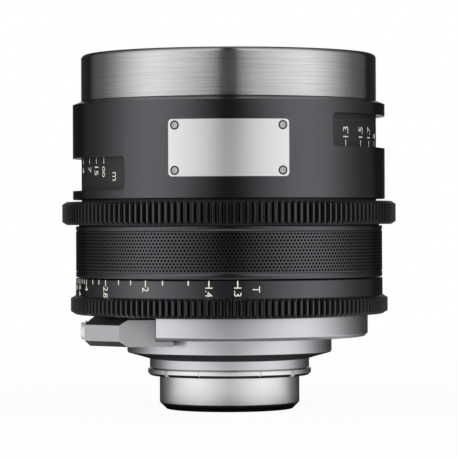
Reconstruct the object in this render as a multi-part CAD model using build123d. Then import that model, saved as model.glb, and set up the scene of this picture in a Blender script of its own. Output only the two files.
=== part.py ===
from build123d import *
from math import atan2, cos, degrees, hypot, pi, radians, sin, sqrt, tan
import os

# A cinema prime lens standing on its rear end. Z is the optical axis and points to the front of the lens,
# and the origin is the centre of the mount's seat, the flange face that meets the camera.
# Bearings are counted in degrees from -Y, the side with the name plate, towards +X.

# Clearances
running_fit = 0.05
slot_fit = 0.04
cover_gap = 0.3
overrun = 1.0

# Turns and the ways a round body stands on its place
right_angle = 90.0
half_turn = 180.0
full_turn = 360.0
standing = (Align.CENTER, Align.CENTER, Align.MIN)
hanging = (Align.CENTER, Align.CENTER, Align.MAX)

# Mount: register tube and lobed flange
tube_diameter = 54.0
tube_wall = 2.6
tube_length = 10.4
tube_chamfer = 0.6
flange_thickness = 2.6
lobe_step = 4.5
lobe_chamfer = 1.0
notch_bearing = 50.7
notch_width = 2.3
notch_depth = 1.9
key_bearing = 21.8
key_width = 0.5
key_depth = 0.4
mount_bore_step = 7.0
mount_ledge = 4.6
mount_screw_count = 8
mount_screw_grip = 4.4

# Black ring that closes the tube's rear end
tail_height = 2.0
tail_wall = 2.9
tail_spigot_length = 5.3
tail_bevel = 0.6

# Shim that sets the flange distance
shim_thickness = 0.5
shim_step = 1.9

# Rear barrel: neck, cone and waist
neck_step = 0.7
neck_length = 3.35
cone_length = 2.45
waist_step = 9.5
waist_length = 6.1
waist_round = 0.4
barrel_pocket_step = 4.0
barrel_pocket_depth = 6.1

# Rear cover with its gap for the data port
cover_step = 6.75
cover_length = 8.3
cover_wall = 3.0
cover_web = 2.5
cover_round = 1.2
cover_screw_bearings = [20.0, 100.0, 190.0, 240.0]

# Position sensor board above the cover's web
board_thickness = 1.2
board_clearance = 0.3

# Data port housing: plan of its faces, seen along the axis
port_height = 10.0
port_drop = 2.5
port_stand = 0.9
port_front_inset = 6.5
port_length = 26.9
port_front_facet = 13.3
port_front_facet_depth = 10.4
port_end_back_y = 8.0
port_back_facet = 8.4
port_back_facet_depth = 10.5
port_chamfer = 2.0
tongue_reach = 6.9
tongue_height = 2.0
tongue_round = 0.9
socket_y = -10.8
socket_diameter = 6.5
socket_bore = 5.2
socket_reach = 2.4
socket_depth = 5.0
socket_nut_diameter = 7.6
socket_nut_thickness = 0.6
socket_shank = 4.8
contact_disc_thickness = 1.2
contact_disc_step = 0.3
contact_depth = 0.8
contact_diameter = 0.7
contact_circle = 2.6
contact_count = 4
contact_turn_share = 0.5
port_screw_offset = 9.5
port_screw_grip = 2.0
port_screw_sink = 0.4

# Fixed main barrel, the guide for everything that moves
barrel_step = 7.0
barrel_wall = 3.45
barrel_floor = 3.0
floor_bore_step = 3.0
barrel_shoulder_width = 3.05
cover_flange_width = 3.7
cover_flange_thickness = 2.0
barrel_screw_count = 6
barrel_screw_inset = 4.5
barrel_screw_grip = 3.6

# Iris: base plate, blades, cam plate and lid
iris_seat_height = 11.1
iris_base_thickness = 2.0
iris_opening_step = 0.3
blade_count = 9
blade_thickness = 0.15
blade_pitch = 0.25
layer_share = 0.5
blade_pivot_inset = 7.05
blade_inner_share = 0.572
blade_outer_share = 0.903
blade_start_angle = 4.0
blade_end_angle = 118.0
blade_swing = 31.0
blade_lever_share = 0.25
pivot_pin_diameter = 1.4
pivot_pin_depth = 1.6
drive_pin_diameter = 1.0
drive_pin_reach = 2.4
pivot_ear_radius = 1.9
drive_ear_radius = 1.4
ear_share = 0.22
iris_running_gap = 0.35
cam_plate_thickness = 3.0
lid_gap = 0.3
lid_thickness = 2.4
iris_throw = 93.0
slot_margin = 1.5
slot_stations = 9

# Iris ring: gear, scale ring and driver
iris_gap = 0.4
iris_gear_width = 7.2
iris_scale_width = 6.6
iris_scale_step = 1.0
iris_gear_seat_step = 4.25
iris_spigot_gap = 0.4
iris_relief_step = 3.5
iris_relief_depth = 3.6
iris_gear_stand = 0.3
driver_diameter = 2.0
driver_bearing = 150.0
driver_engagement = 2.6
driver_sink = 0.6

# Gears: standard lens drive pitch
gear_module = 0.8
pressure_angle = 20.0
addendum_share = 1.0
dedendum_share = 1.25
tip_chamfer_height = 1.1

# Focus ring: grip, gear, scale drum, carrier and cam sleeve
ring_gap = 0.45
grip_length = 19.5
grip_step = 1.1
grip_strip = 1.6
grip_line_width = 0.35
grip_line_depth = 0.3
gear_lip = 0.5
gear_lip_step = 2.25
focus_gear_width = 8.9
focus_gear_stand = 6.7
gear_seat_step = 3.25
drum_play = 0.3
drum_wall = 2.0
drum_spigot_length = 3.7
drum_spigot_wall = 2.0
sleeve_wall = 2.95
sleeve_bottom_gap = 2.25
sleeve_top_gap = 1.0
carrier_relief_depth = 11.0
carrier_relief_wall = 3.0
carrier_screw_count = 3
carrier_screw_diameter = 3.0
carrier_screw_bearing = 30.0
carrier_screw_grip = 1.5
stop_pin_diameter = 1.6
stop_pin_bearing = -60.0
stop_pin_reach = 1.8
stop_pin_depth = 3.0
stop_groove_depth = 1.5
stop_groove_wall = 0.3
focus_throw_back = 34.5
focus_throw_forward = 165.5

# Focusing group: cell, rollers and their cams
focus_travel = 9.6
roller_diameter = 4.0
roller_count = 3
roller_bearing = 40.0
roller_lift = 34.0
roller_seat_depth = 3.0
roller_top_gap = 0.2
guide_margin = 0.5
cam_margin_angle = 1.0
cell_below_rollers = 20.0
cell_above_rollers = 16.0
cell_wall = 4.0
cell_step = 3.0
cell_relief_depth = 0.4
cell_land = 5.0

# Barrel shell with the two scale windows and the plate's seat
shell_step = 13.75
shell_wall = 3.05
shell_gap = 0.75
skirt_length = 33.1
web_thickness = 4.6
shell_chamfer_height = 1.3
window_height = 12.45
window_edge_bearing = 39.8
window_sweep = 100.4
window_round = 1.7
left_window_lift = 3.4
right_window_lift = 19.4
drum_head_gap = 0.6
shell_screw_count = 6
shell_screw_grip = 3.4

# Name plate
plate_half_angle = 21.5
plate_height = 21.0
plate_lift = 8.1
plate_thickness = 0.8
plate_stand = 0.2
plate_round = 1.4
plate_screw_bearing = 19.15
plate_screw_inset = 2.2
plate_screw_diameter = 2.5
plate_screw_seat = 3.4
plate_screw_seat_depth = 0.45
plate_screw_shank = 1.5
plate_screw_grip = 1.4

# Front ring with its screw thread, cell, baffle and glass
front_ring_length = 18.05
front_step = 3.25
front_round = 1.7
thread_wall = 4.5
thread_length = 6.0
front_bore_step = 2.5
mouth_chamfer = 0.8
front_screw_count = 6
front_screw_grip = 5.0
web_screw_bearing = 30.0
front_cell_spigot = 8.6
front_cell_flange = 3.0
front_cell_wall = 2.6
front_cell_height = 11.0
cell_screw_count = 6
cell_screw_grip = 3.6
baffle_flange = 1.3
baffle_seat_step = 1.2
baffle_flange_play = 0.1
baffle_depth = 5.2
baffle_ridges = 3
baffle_ridge_share = 0.85
front_retainer_stand = 0.5
front_retainer_lip = 1.5
front_cell_lip = 1.0

# Rear cell
rear_cell_play = 0.2
rear_cell_end_lift = 2.5
rear_cell_collar_thickness = 2.4
rear_cell_head_step = 4.0
rear_cell_head_gap = 1.1
rear_retainer_height = 1.8
rear_retainer_lip = 1.2

# Glass: how far each edge stays inside its cell and where each element's seat is
front_glass_inset = 6.0
front_glass_seat = 1.2
second_glass_inset = 5.05
second_glass_drop = 6.6
focus_front_glass_inset = 7.5
focus_front_glass_seat = 3.0
focus_rear_glass_inset = 13.0
focus_rear_glass_drop = 12.0
rear_inner_glass_inset = 2.5
rear_inner_glass_seat = 1.4
rear_glass_inset = 3.2
rear_glass_seat = 4.2

# Screws: shank and head sizes, and the broken edge of turned rings
small_shank = 1.6
small_head = 2.8
small_head_height = 1.3
medium_shank = 2.5
medium_head = 3.6
medium_head_height = 1.6
edge_break = 0.3
socket_share = 0.5
hex_depth_share = 0.6

# Places along the axis, from the rear to the front
tube_end_z = -tube_length - tube_chamfer
tail_end_z = tube_end_z - tail_height
shim_top_z = flange_thickness + shim_thickness
neck_top_z = shim_top_z + neck_length
cone_top_z = neck_top_z + cone_length
waist_top_z = cone_top_z + waist_length
cover_top_z = waist_top_z + cover_length
iris_bottom_z = cover_top_z + iris_gap
iris_scale_z = iris_bottom_z + iris_gear_width
iris_top_z = iris_scale_z + iris_scale_width
grip_bottom_z = iris_top_z + ring_gap
grip_top_z = grip_bottom_z + grip_length
gear_bottom_z = grip_top_z + gear_lip
gear_top_z = gear_bottom_z + focus_gear_width
shell_bottom_z = gear_top_z + shell_gap
web_bottom_z = shell_bottom_z + skirt_length
shell_top_z = web_bottom_z + web_thickness
front_z = shell_top_z + front_ring_length
thread_floor_z = front_z - thread_length
drum_top_z = web_bottom_z - drum_head_gap
sleeve_bottom_z = grip_bottom_z + sleeve_bottom_gap
sleeve_top_z = web_bottom_z - sleeve_top_gap
floor_top_z = waist_top_z + barrel_floor
cover_web_z = waist_top_z + cover_web
roller_z = grip_bottom_z + roller_lift
cell_bottom_z = roller_z - cell_below_rollers
cell_top_z = roller_z + cell_above_rollers
rear_cell_end_z = tube_end_z + rear_cell_end_lift
port_base_z = waist_top_z - port_drop
board_z = cover_web_z + cover_flange_thickness
port_top_z = port_base_z + port_height
socket_z = port_base_z + port_height / 2
ledge_z = flange_thickness - mount_ledge
iris_seat_z = waist_top_z + iris_seat_height
iris_base_top_z = iris_seat_z + iris_base_thickness
blade_stack_height = blade_pitch * blade_count
cam_plate_z = iris_base_top_z + blade_stack_height + iris_running_gap
cam_plate_top_z = cam_plate_z + cam_plate_thickness
lid_z = cam_plate_top_z + lid_gap
driver_z = cam_plate_z + cam_plate_thickness / 2

# Radii, from the register tube outwards to the shell
tube_radius = tube_diameter / 2
tube_inner = tube_radius - tube_wall
lobe_radius = tube_radius + lobe_step
mount_bore_radius = tube_radius - mount_bore_step
mount_screw_circle = mount_bore_radius + tube_inner
tail_top_radius = tube_radius - tube_chamfer
tail_end_radius = tail_top_radius - tail_height
tail_bore_radius = tube_inner - tail_wall
shim_radius = lobe_radius - shim_step
neck_radius = lobe_radius - neck_step
pocket_radius = mount_bore_radius + barrel_pocket_step
rear_cell_radius = mount_bore_radius - rear_cell_play
floor_bore_radius = tube_radius + floor_bore_step
waist_radius = floor_bore_radius + waist_step
barrel_radius = waist_radius + barrel_step
barrel_inner = barrel_radius - barrel_wall
shell_radius = barrel_radius + shell_step
shell_inner = shell_radius - shell_wall
cover_radius = shell_radius - cover_step
shoulder_bore_radius = barrel_inner - barrel_shoulder_width
collar_radius = floor_bore_radius - cover_gap
rear_cell_head_radius = floor_bore_radius - rear_cell_head_step
barrel_screw_circle = 2 * (waist_radius - barrel_screw_inset)
cover_screw_circle = 2 * barrel_radius + cover_flange_width
shell_screw_circle = barrel_radius + barrel_inner
flange_radius = barrel_radius + cover_flange_width
sleeve_inner = barrel_radius + running_fit
sleeve_outer = sleeve_inner + sleeve_wall
moving_bore = barrel_radius + running_fit
grip_radius = shell_radius - grip_step
gear_lip_radius = shell_radius - gear_lip_step
gear_seat_radius = shell_radius - gear_seat_step
drum_radius = shell_inner - drum_play
drum_inner = drum_radius - drum_wall
iris_scale_radius = shell_radius - iris_scale_step
iris_gear_seat_radius = shell_radius - iris_gear_seat_step
iris_relief_radius = barrel_radius + iris_relief_step
front_radius = shell_radius - front_step
thread_radius = front_radius - thread_wall
front_bore_radius = thread_radius - front_bore_step
baffle_seat_radius = front_bore_radius + baffle_seat_step
front_screw_circle = front_radius + front_bore_radius
cell_radius = barrel_inner - running_fit
blade_pivot_radius = barrel_inner - blade_pivot_inset
blade_inner_radius = blade_pivot_radius * blade_inner_share
blade_outer_radius = blade_pivot_radius * blade_outer_share
blade_lever = blade_pivot_radius * blade_lever_share
iris_opening_radius = blade_inner_radius - iris_opening_step

# Teeth that fill each gear's pitch circle
iris_teeth = round((2 * shell_radius + iris_gear_stand) / gear_module)
focus_teeth = round((2 * shell_radius + focus_gear_stand) / gear_module)

# Corners of the data port housing
port_end_x = -cover_radius - port_stand
port_front_right_x = port_end_x + port_length
port_front_left_x = port_end_x + port_front_facet
port_back_x = port_end_x + port_back_facet
port_front_y = port_front_inset - barrel_radius
port_end_front_y = port_front_y + port_front_facet_depth
port_back_y = port_end_back_y + port_back_facet_depth

# How far the focusing group moves for one degree of the focus ring
focus_rise = focus_travel / (focus_throw_back + focus_throw_forward)

# Glass elements: half diameter, radii of both faces, length of the ground rim and height of the rear edge
front_glass = dict(
    half=front_bore_radius - front_glass_inset, front=140.0, back=420.0, rim=2.4,
    edge_z=shell_top_z + front_glass_seat)
second_glass = dict(
    half=barrel_inner - second_glass_inset, front=140.0, back=260.0, rim=2.7,
    edge_z=shell_top_z - second_glass_drop)
focus_front_glass = dict(
    half=cell_radius - focus_front_glass_inset, front=80.0, back=-200.0, rim=3.5,
    edge_z=roller_z + focus_front_glass_seat)
focus_rear_glass = dict(
    half=cell_radius - focus_rear_glass_inset, front=-90.0, back=-70.0, rim=3.9,
    edge_z=roller_z - focus_rear_glass_drop)
rear_inner_glass = dict(
    half=pocket_radius - rear_inner_glass_inset, front=60.0, back=-80.0, rim=3.1,
    edge_z=waist_top_z + rear_inner_glass_seat)
rear_glass = dict(
    half=rear_cell_radius - rear_glass_inset, front=45.0, back=-52.0, rim=1.7,
    edge_z=rear_cell_end_z + rear_glass_seat)
cell_screw_circle = front_glass["half"] + front_cell_wall + front_bore_radius - baffle_flange_play


def turned(points):
    """A body of revolution about the optical axis from (radius, height) corners."""
    corners = [(radius, 0, height) for radius, height in points]
    return revolve(make_face(Polyline(*corners, close=True)), Axis.Z)


def tube(outer, inner, low, high):
    """A plain ring between two radii and two heights."""
    return turned([(inner, low), (outer, low), (outer, high), (inner, high)])


def dressed_tube(outer, inner, low, high):
    """A plain ring whose two outer corners are broken."""
    return turned([
        (inner, low), (outer - edge_break, low), (outer, low + edge_break),
        (outer, high - edge_break), (outer - edge_break, high), (inner, high),
    ])


def disc(radius, low, high):
    """A plain round slug on the axis."""
    return Pos(0, 0, low) * Cylinder(radius, high - low, align=standing)


def facing(bearing):
    """Turn about the axis that takes +X to a bearing."""
    return Rot(0, 0, bearing - right_angle)


def around(count, first_bearing=0.0):
    """Turns about the axis for a pattern of equal steps."""
    return [facing(first_bearing + full_turn * step / count) for step in range(count)]


def wedge(outer, inner, low, high, first_bearing, sweep):
    """A sector of a ring that starts at one bearing and runs anticlockwise."""
    corners = [(inner, 0, low), (outer, 0, low), (outer, 0, high), (inner, 0, high)]
    sector = revolve(make_face(Polyline(*corners, close=True)), Axis.Z, sweep)
    return facing(first_bearing) * sector


def rounded_wedge(outer, inner, low, high, first_bearing, sweep, corner):
    """A sector whose four radial edges are rounded."""
    sector = wedge(outer, inner, low, high, first_bearing, sweep)
    radial_edges = sector.edges().filter_by(GeomType.LINE).filter_by(Axis.Z, reverse=True)
    return fillet(radial_edges, corner)


def radial_rod(radius, inner, outer, height):
    """A rod along +X from one radius to another at a height."""
    rod = Cylinder(radius, outer - inner, align=standing)
    return Pos(inner, 0, height) * Rot(0, right_angle, 0) * rod


def socket_screw(shank, grip, head, head_height):
    """A socket head screw that points down, with the seat of its head at the origin."""
    body = Cylinder(shank / 2, grip, align=hanging)
    body += Cylinder(head / 2, head_height, align=standing)
    recess = extrude(RegularPolygon(head * socket_share / 2, 6), head_height * hex_depth_share)
    return body - Pos(0, 0, head_height - head_height * hex_depth_share) * recess


def screw_places(count, circle, height, upward=False, first_bearing=0.0):
    """Places for axial screws on a circle, heads up or heads down."""
    tip = Rot(half_turn, 0, 0) if upward else Rot(0, 0, 0)
    return [turn * Pos(circle / 2, 0, height) * tip for turn in around(count, first_bearing)]


def drilled(body, places, radius, low, high):
    """The body with round holes along the local axis at the places."""
    drill = Pos(0, 0, low) * Cylinder(radius, high - low, align=standing)
    return body - [place * drill for place in places]


def sag(radius, half):
    """How far a spherical face rises from its edge to its middle; a negative radius is hollow."""
    return (abs(radius) - sqrt(radius**2 - half**2)) * (1 if radius > 0 else -1)


def lens(half, front, back, rim, edge_z):
    """A glass element whose rear face has its edge at edge_z; back is negative for a bulging rear face."""
    low_edge = edge_z
    high_edge = edge_z + rim
    low_middle = low_edge + sag(back, half)
    high_middle = high_edge + sag(front, half)
    half_way = half / 2
    low_half = low_middle - sag(back, half_way)
    high_half = high_middle - sag(front, half_way)
    outline = [
        ThreePointArc((0, 0, low_middle), (half_way, 0, low_half), (half, 0, low_edge)),
        Line((half, 0, low_edge), (half, 0, high_edge)),
        ThreePointArc((half, 0, high_edge), (half_way, 0, high_half), (0, 0, high_middle)),
        Line((0, 0, high_middle), (0, 0, low_middle)),
    ]
    return revolve(make_face(Curve() + outline), Axis.Z)


def gear_blank(teeth, width, bore):
    """A spur gear ring at the origin: straight-flanked teeth with both tip corners bevelled."""
    pitch_radius = gear_module * teeth / 2
    tip_radius = pitch_radius + gear_module * addendum_share
    root_radius = pitch_radius - gear_module * dedendum_share
    slope = tan(radians(pressure_angle))
    pitch_half = gear_module * pi / 4
    tip_half = (pitch_half - gear_module * addendum_share * slope) / tip_radius
    root_half = (pitch_half + gear_module * dedendum_share * slope) / root_radius
    step = 2 * pi / teeth
    corners = []
    for tooth in range(teeth):
        middle = tooth * step
        for radius, turn in (
            (root_radius, -root_half), (tip_radius, -tip_half),
            (tip_radius, tip_half), (root_radius, root_half),
        ):
            corners.append((radius * cos(middle + turn), radius * sin(middle + turn)))
    toothed = extrude(make_face(Polyline(*corners, close=True)) - Circle(bore), width)
    bevel = turned([
        (bore, 0), (root_radius, 0), (tip_radius, tip_chamfer_height),
        (tip_radius, width - tip_chamfer_height), (root_radius, width), (bore, width),
    ])
    return toothed & bevel


def blade_drive_point(swing):
    """Where a blade's drive pin stands when the blade has swung from its closed place."""
    closed_direction = right_angle + blade_swing / 2
    direction = radians(closed_direction + swing)
    return blade_pivot_radius + blade_lever * cos(direction), blade_lever * sin(direction)


def cam_point(share):
    """Centre of the first blade's slot in the cam plate, from closed at 0 to open at 1."""
    x, y = blade_drive_point(-blade_swing * share)
    turn = atan2(y, x) + radians(iris_throw * share)
    return hypot(x, y) * cos(turn), hypot(x, y) * sin(turn)


def cam_slot():
    """The slot that one drive pin follows: two offset curves closed by half rounds."""
    half = drive_pin_diameter / 2 + slot_fit
    spare = slot_margin / iris_throw
    step = (1 + 2 * spare) / (slot_stations - 1)
    small = step / slot_stations
    outer, inner, ends = [], [], []
    for station in range(slot_stations):
        share = step * station - spare
        x, y = cam_point(share)
        ahead, behind = cam_point(share + small), cam_point(share - small)
        along = hypot(ahead[0] - behind[0], ahead[1] - behind[1])
        tx, ty = (ahead[0] - behind[0]) / along, (ahead[1] - behind[1]) / along
        outer.append((x + half * ty, y - half * tx))
        inner.append((x - half * ty, y + half * tx))
        ends.append((x, y, tx, ty))
    first, last = ends[0], ends[-1]
    start_tip = (first[0] - half * first[2], first[1] - half * first[3])
    end_tip = (last[0] + half * last[2], last[1] + half * last[3])
    outline = [
        Spline(*outer),
        ThreePointArc(outer[-1], end_tip, inner[-1]),
        Spline(*inner[::-1]),
        ThreePointArc(inner[0], start_tip, outer[0]),
    ]
    return make_face(Curve() + outline)


def bayonet_mount():
    """Register tube and flange with notches between its lobes."""
    body = turned([
        (mount_bore_radius, ledge_z), (tube_inner, ledge_z), (tube_inner, tube_end_z),
        (tube_radius - tube_chamfer, tube_end_z), (tube_radius, -tube_length), (tube_radius, 0),
        (lobe_radius - lobe_chamfer, 0), (lobe_radius, lobe_chamfer),
        (lobe_radius, flange_thickness), (mount_bore_radius, flange_thickness),
    ])
    for bearing in (notch_bearing, -notch_bearing, half_turn - notch_bearing, half_turn + notch_bearing):
        notch = Box(notch_depth + overrun, notch_width, flange_thickness + 2 * overrun,
                    align=(Align.MIN, Align.CENTER, Align.CENTER))
        body -= facing(bearing) * Pos(lobe_radius - notch_depth, 0, flange_thickness / 2) * notch
    for bearing in (key_bearing, -key_bearing, half_turn - key_bearing, half_turn + key_bearing):
        line = Box(key_depth + overrun, key_width, flange_thickness + 2 * overrun,
                   align=(Align.MIN, Align.CENTER, Align.CENTER))
        body -= facing(bearing) * Pos(lobe_radius - key_depth, 0, flange_thickness / 2) * line
    places = screw_places(mount_screw_count, mount_screw_circle, ledge_z)
    return drilled(body, places, medium_shank / 2 + running_fit, -overrun, mount_ledge + overrun)


def mount_screws():
    """Screws that hold the mount and its shim to the rear barrel, heads to the rear."""
    reach = mount_ledge + shim_thickness + mount_screw_grip
    screw = socket_screw(medium_shank, reach, medium_head, medium_head_height)
    places = screw_places(mount_screw_count, mount_screw_circle, ledge_z, upward=True)
    return [place * screw for place in places]


def mount_shim():
    """Thin spacer between flange and neck."""
    body = tube(shim_radius, mount_bore_radius, flange_thickness, shim_top_z)
    places = screw_places(mount_screw_count, mount_screw_circle, flange_thickness)
    return drilled(body, places, medium_shank / 2 + running_fit, -overrun, shim_thickness + overrun)


def tail_guard():
    """Black ring pressed into the tube, with the cone that the lens stands on."""
    return turned([
        (tail_bore_radius, tail_end_z + tail_bevel), (tail_bore_radius + tail_bevel, tail_end_z),
        (tail_end_radius, tail_end_z), (tail_top_radius, tube_end_z), (tube_inner, tube_end_z),
        (tube_inner, tube_end_z + tail_spigot_length), (tail_bore_radius, tube_end_z + tail_spigot_length),
    ])


def rear_barrel():
    """Neck, cone and waist in one turned piece."""
    pocket, neck = pocket_radius, neck_radius
    slope = cone_length / (waist_radius - neck)
    body = turned([
        (mount_bore_radius, shim_top_z), (neck, shim_top_z), (neck, neck_top_z),
        (waist_radius - waist_round, cone_top_z - waist_round * slope),
        (waist_radius, cone_top_z + waist_round), (waist_radius, waist_top_z), (pocket, waist_top_z),
        (pocket, waist_top_z - barrel_pocket_depth), (mount_bore_radius, waist_top_z - barrel_pocket_depth),
    ])
    low = screw_places(mount_screw_count, mount_screw_circle, shim_top_z)
    body = drilled(body, low, medium_shank / 2, -overrun, mount_screw_grip)
    high = screw_places(barrel_screw_count, barrel_screw_circle, waist_top_z)
    return drilled(body, high, small_shank / 2, -barrel_screw_grip, overrun)


def port_plan(margin=0.0):
    """Outline of the data port housing along the axis, pushed out by a margin."""
    return Polyline(
        (port_front_right_x + margin, port_front_y - margin),
        (port_front_left_x, port_front_y - margin),
        (port_end_x - margin, port_end_front_y - margin),
        (port_end_x - margin, port_end_back_y),
        (port_back_x, port_back_y + margin),
        (0, port_back_y + margin),
        (0, 0),
        (port_front_right_x + margin, 0),
        close=True,
    )


def port_clearing(low, high, margin=0.0):
    """The space that the data port housing takes out of the rings that it interrupts."""
    return Pos(0, 0, low) * extrude(make_face(port_plan(margin)), high - low)


def cover_opening(low, high):
    """The gap in the rear cover, cut straight to the outside in front of and behind the housing."""
    far = cover_radius + overrun
    outline = Polyline(
        (port_front_right_x + cover_gap, 0), (port_front_right_x + cover_gap, -far), (-far, -far),
        (-far, port_back_y + cover_gap), (0, port_back_y + cover_gap), (0, 0), close=True,
    )
    return Pos(0, 0, low) * extrude(make_face(outline), high - low)


def rear_cover():
    """Ring behind the iris gear, open on the left for the data port."""
    body = turned([
        (barrel_radius, waist_top_z), (cover_radius - cover_round, waist_top_z),
        (cover_radius, waist_top_z + cover_round), (cover_radius, cover_top_z),
        (cover_radius - cover_wall, cover_top_z), (cover_radius - cover_wall, cover_web_z),
        (barrel_radius, cover_web_z),
    ])
    body -= cover_opening(waist_top_z - overrun, cover_top_z + overrun)
    places = [facing(bearing) * Pos(cover_screw_circle / 2, 0, waist_top_z)
              for bearing in cover_screw_bearings]
    body = drilled(body, places, small_shank / 2 + running_fit, -overrun, cover_web + overrun)
    return drilled(body, places, small_head / 2 + running_fit, -overrun, small_head_height)


def cover_screws():
    """Screws from the rear through the cover's web into the main barrel's flange."""
    grip = cover_web - small_head_height + cover_flange_thickness
    screw = socket_screw(small_shank, grip, small_head, small_head_height)
    return [facing(bearing) * Pos(cover_screw_circle / 2, 0, waist_top_z + small_head_height)
            * Rot(half_turn, 0, 0) * screw for bearing in cover_screw_bearings]


def sensor_board():
    """Ring-shaped circuit board that reads the two rings for the data port."""
    body = tube(flange_radius, barrel_radius + board_clearance, board_z, board_z + board_thickness)
    return body - port_clearing(board_z - overrun, board_z + board_thickness + overrun, cover_gap)


def main_barrel():
    """Fixed sleeve with the focus guides, the iris driver's slot and the rear floor."""
    body = turned([
        (floor_bore_radius, waist_top_z), (barrel_radius, waist_top_z), (barrel_radius, cover_web_z),
        (flange_radius, cover_web_z), (flange_radius, board_z), (barrel_radius, board_z),
        (barrel_radius, web_bottom_z), (barrel_inner, web_bottom_z), (barrel_inner, iris_seat_z),
        (shoulder_bore_radius, iris_seat_z), (shoulder_bore_radius, floor_top_z),
        (floor_bore_radius, floor_top_z),
    ])
    flange_cut = port_clearing(cover_web_z - overrun, board_z + overrun, cover_gap)
    body -= flange_cut - disc(barrel_radius, cover_web_z - 2 * overrun, board_z + 2 * overrun)
    half_width = roller_diameter / 2 + slot_fit
    low = roller_z - focus_rise * focus_throw_back - guide_margin
    high = roller_z + focus_rise * focus_throw_forward + guide_margin
    guide = Pos((barrel_inner + barrel_radius) / 2, 0, (low + high) / 2) * Box(
        barrel_wall + 2 * overrun, 2 * half_width, high - low)
    for end in (low, high):
        guide += radial_rod(half_width, barrel_inner - overrun, barrel_radius + overrun, end)
    body -= [turn * guide for turn in around(roller_count, roller_bearing)]
    driver_half = driver_diameter / 2 + slot_fit
    slot_start = driver_bearing - iris_throw - slot_margin
    slot_sweep = iris_throw + 2 * slot_margin
    slot = wedge(barrel_radius + overrun, barrel_inner - overrun, driver_z - driver_half,
                 driver_z + driver_half, slot_start, slot_sweep)
    for bearing in (slot_start, slot_start + slot_sweep):
        slot += facing(bearing) * radial_rod(
            driver_half, barrel_inner - overrun, barrel_radius + overrun, driver_z)
    body -= slot
    low_places = screw_places(barrel_screw_count, barrel_screw_circle, waist_top_z)
    body = drilled(body, low_places, small_shank / 2 + running_fit, -overrun, barrel_floor + overrun)
    cover_places = [facing(bearing) * Pos(cover_screw_circle / 2, 0, cover_web_z)
                    for bearing in cover_screw_bearings]
    body = drilled(body, cover_places, small_shank / 2, -overrun, cover_flange_thickness + overrun)
    top_places = screw_places(shell_screw_count, shell_screw_circle, web_bottom_z)
    body = drilled(body, top_places, small_shank / 2, -shell_screw_grip, overrun)
    for place, length in port_screw_places():
        body -= place * Cylinder(small_shank / 2, length, align=hanging)
    return body


def barrel_screws():
    """Screws from inside the main barrel's floor into the rear barrel."""
    screw = socket_screw(small_shank, barrel_floor + barrel_screw_grip, small_head, small_head_height)
    return [place * screw for place in screw_places(barrel_screw_count, barrel_screw_circle, floor_top_z)]


def port_screw_places():
    """Places of the two port screws, heads to the left, each with its length into the barrel's wall."""
    seat_x = port_end_x + port_screw_sink + small_head_height
    places = []
    for y in (socket_y - port_screw_offset, socket_y + port_screw_offset):
        tip_x = -sqrt((barrel_radius - port_screw_grip) ** 2 - y**2)
        places.append((Pos(seat_x, y, socket_z) * Rot(0, -right_angle, 0), tip_x - seat_x))
    return places


def data_port_housing():
    """Faceted block on the left of the rear cover, with a low tongue that runs on under the cover."""
    block = port_clearing(port_base_z, port_top_z)
    block = chamfer(
        [edge for edge in block.edges() if port_chamfered(edge)], port_chamfer)
    shelf = Box(tongue_reach, -port_front_y, tongue_height, align=(Align.MIN, Align.MIN, Align.MIN))
    shelf = fillet(shelf.edges().filter_by(Axis.Y).group_by(Axis.X)[-1], tongue_round)
    block += Pos(port_front_right_x, port_front_y, port_base_z) * shelf
    block -= disc(waist_radius, port_base_z - overrun, port_top_z + overrun)
    block -= disc(barrel_radius, waist_top_z, port_top_z + overrun)
    bore = Pos(port_end_x, socket_y, socket_z) * Rot(0, right_angle, 0)
    well = Cylinder(socket_shank_radius(), socket_shank, align=standing)
    block -= bore * well
    for place, length in port_screw_places():
        block -= place * Cylinder(small_shank / 2 + running_fit, length + overrun, align=hanging)
        head_room = small_head_height + port_screw_sink + overrun
        block -= place * Cylinder(small_head / 2 + running_fit, head_room, align=standing)
    return max(block.solids(), key=lambda solid: solid.volume)


def socket_shank_radius():
    """Radius of the connector's threaded shank inside the housing."""
    return socket_diameter / 2


def port_chamfered(edge):
    """Whether an edge belongs to the long top and bottom borders of the housing's three left faces."""
    middle = edge.center()
    flat = abs(edge.tangent_at(0).Z) < running_fit
    outside = middle.X < (port_front_left_x + port_end_x) / 2 + running_fit
    return flat and outside


def data_port_socket():
    """Round connector shell with its flange nut, in one piece with its shank."""
    turn = Pos(port_end_x, socket_y, socket_z) * Rot(0, -right_angle, 0)
    shell = Cylinder(socket_diameter / 2, socket_reach, align=standing)
    shell += Cylinder(socket_nut_diameter / 2, socket_nut_thickness, align=standing)
    shell += Cylinder(socket_diameter / 2, socket_shank, align=hanging)
    floor = Pos(0, 0, socket_reach - socket_depth)
    shell -= floor * Cylinder(socket_bore / 2, socket_depth + overrun, align=standing)
    shell -= floor * Cylinder(socket_bore / 2 - contact_disc_step, contact_disc_thickness, align=hanging)
    return turn * shell


def data_port_contacts():
    """Insulating disc at the bottom of the socket with its contact holes."""
    place = Pos(port_end_x, socket_y, socket_z) * Rot(0, -right_angle, 0)
    floor = socket_reach - socket_depth
    insert = Pos(0, 0, floor) * Cylinder(
        socket_bore / 2 - contact_disc_step, contact_disc_thickness, align=hanging)
    for step in range(contact_count):
        hole = Cylinder(contact_diameter / 2, contact_depth, align=hanging)
        turn_share = (step + contact_turn_share) / contact_count
        insert -= Rot(0, 0, full_turn * turn_share) * Pos(contact_circle / 2, 0, floor) * hole
    return place * insert


def port_screws():
    """The two screws that hold the housing to the main barrel."""
    return [place * socket_screw(small_shank, length, small_head, small_head_height)
            for place, length in port_screw_places()]


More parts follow.
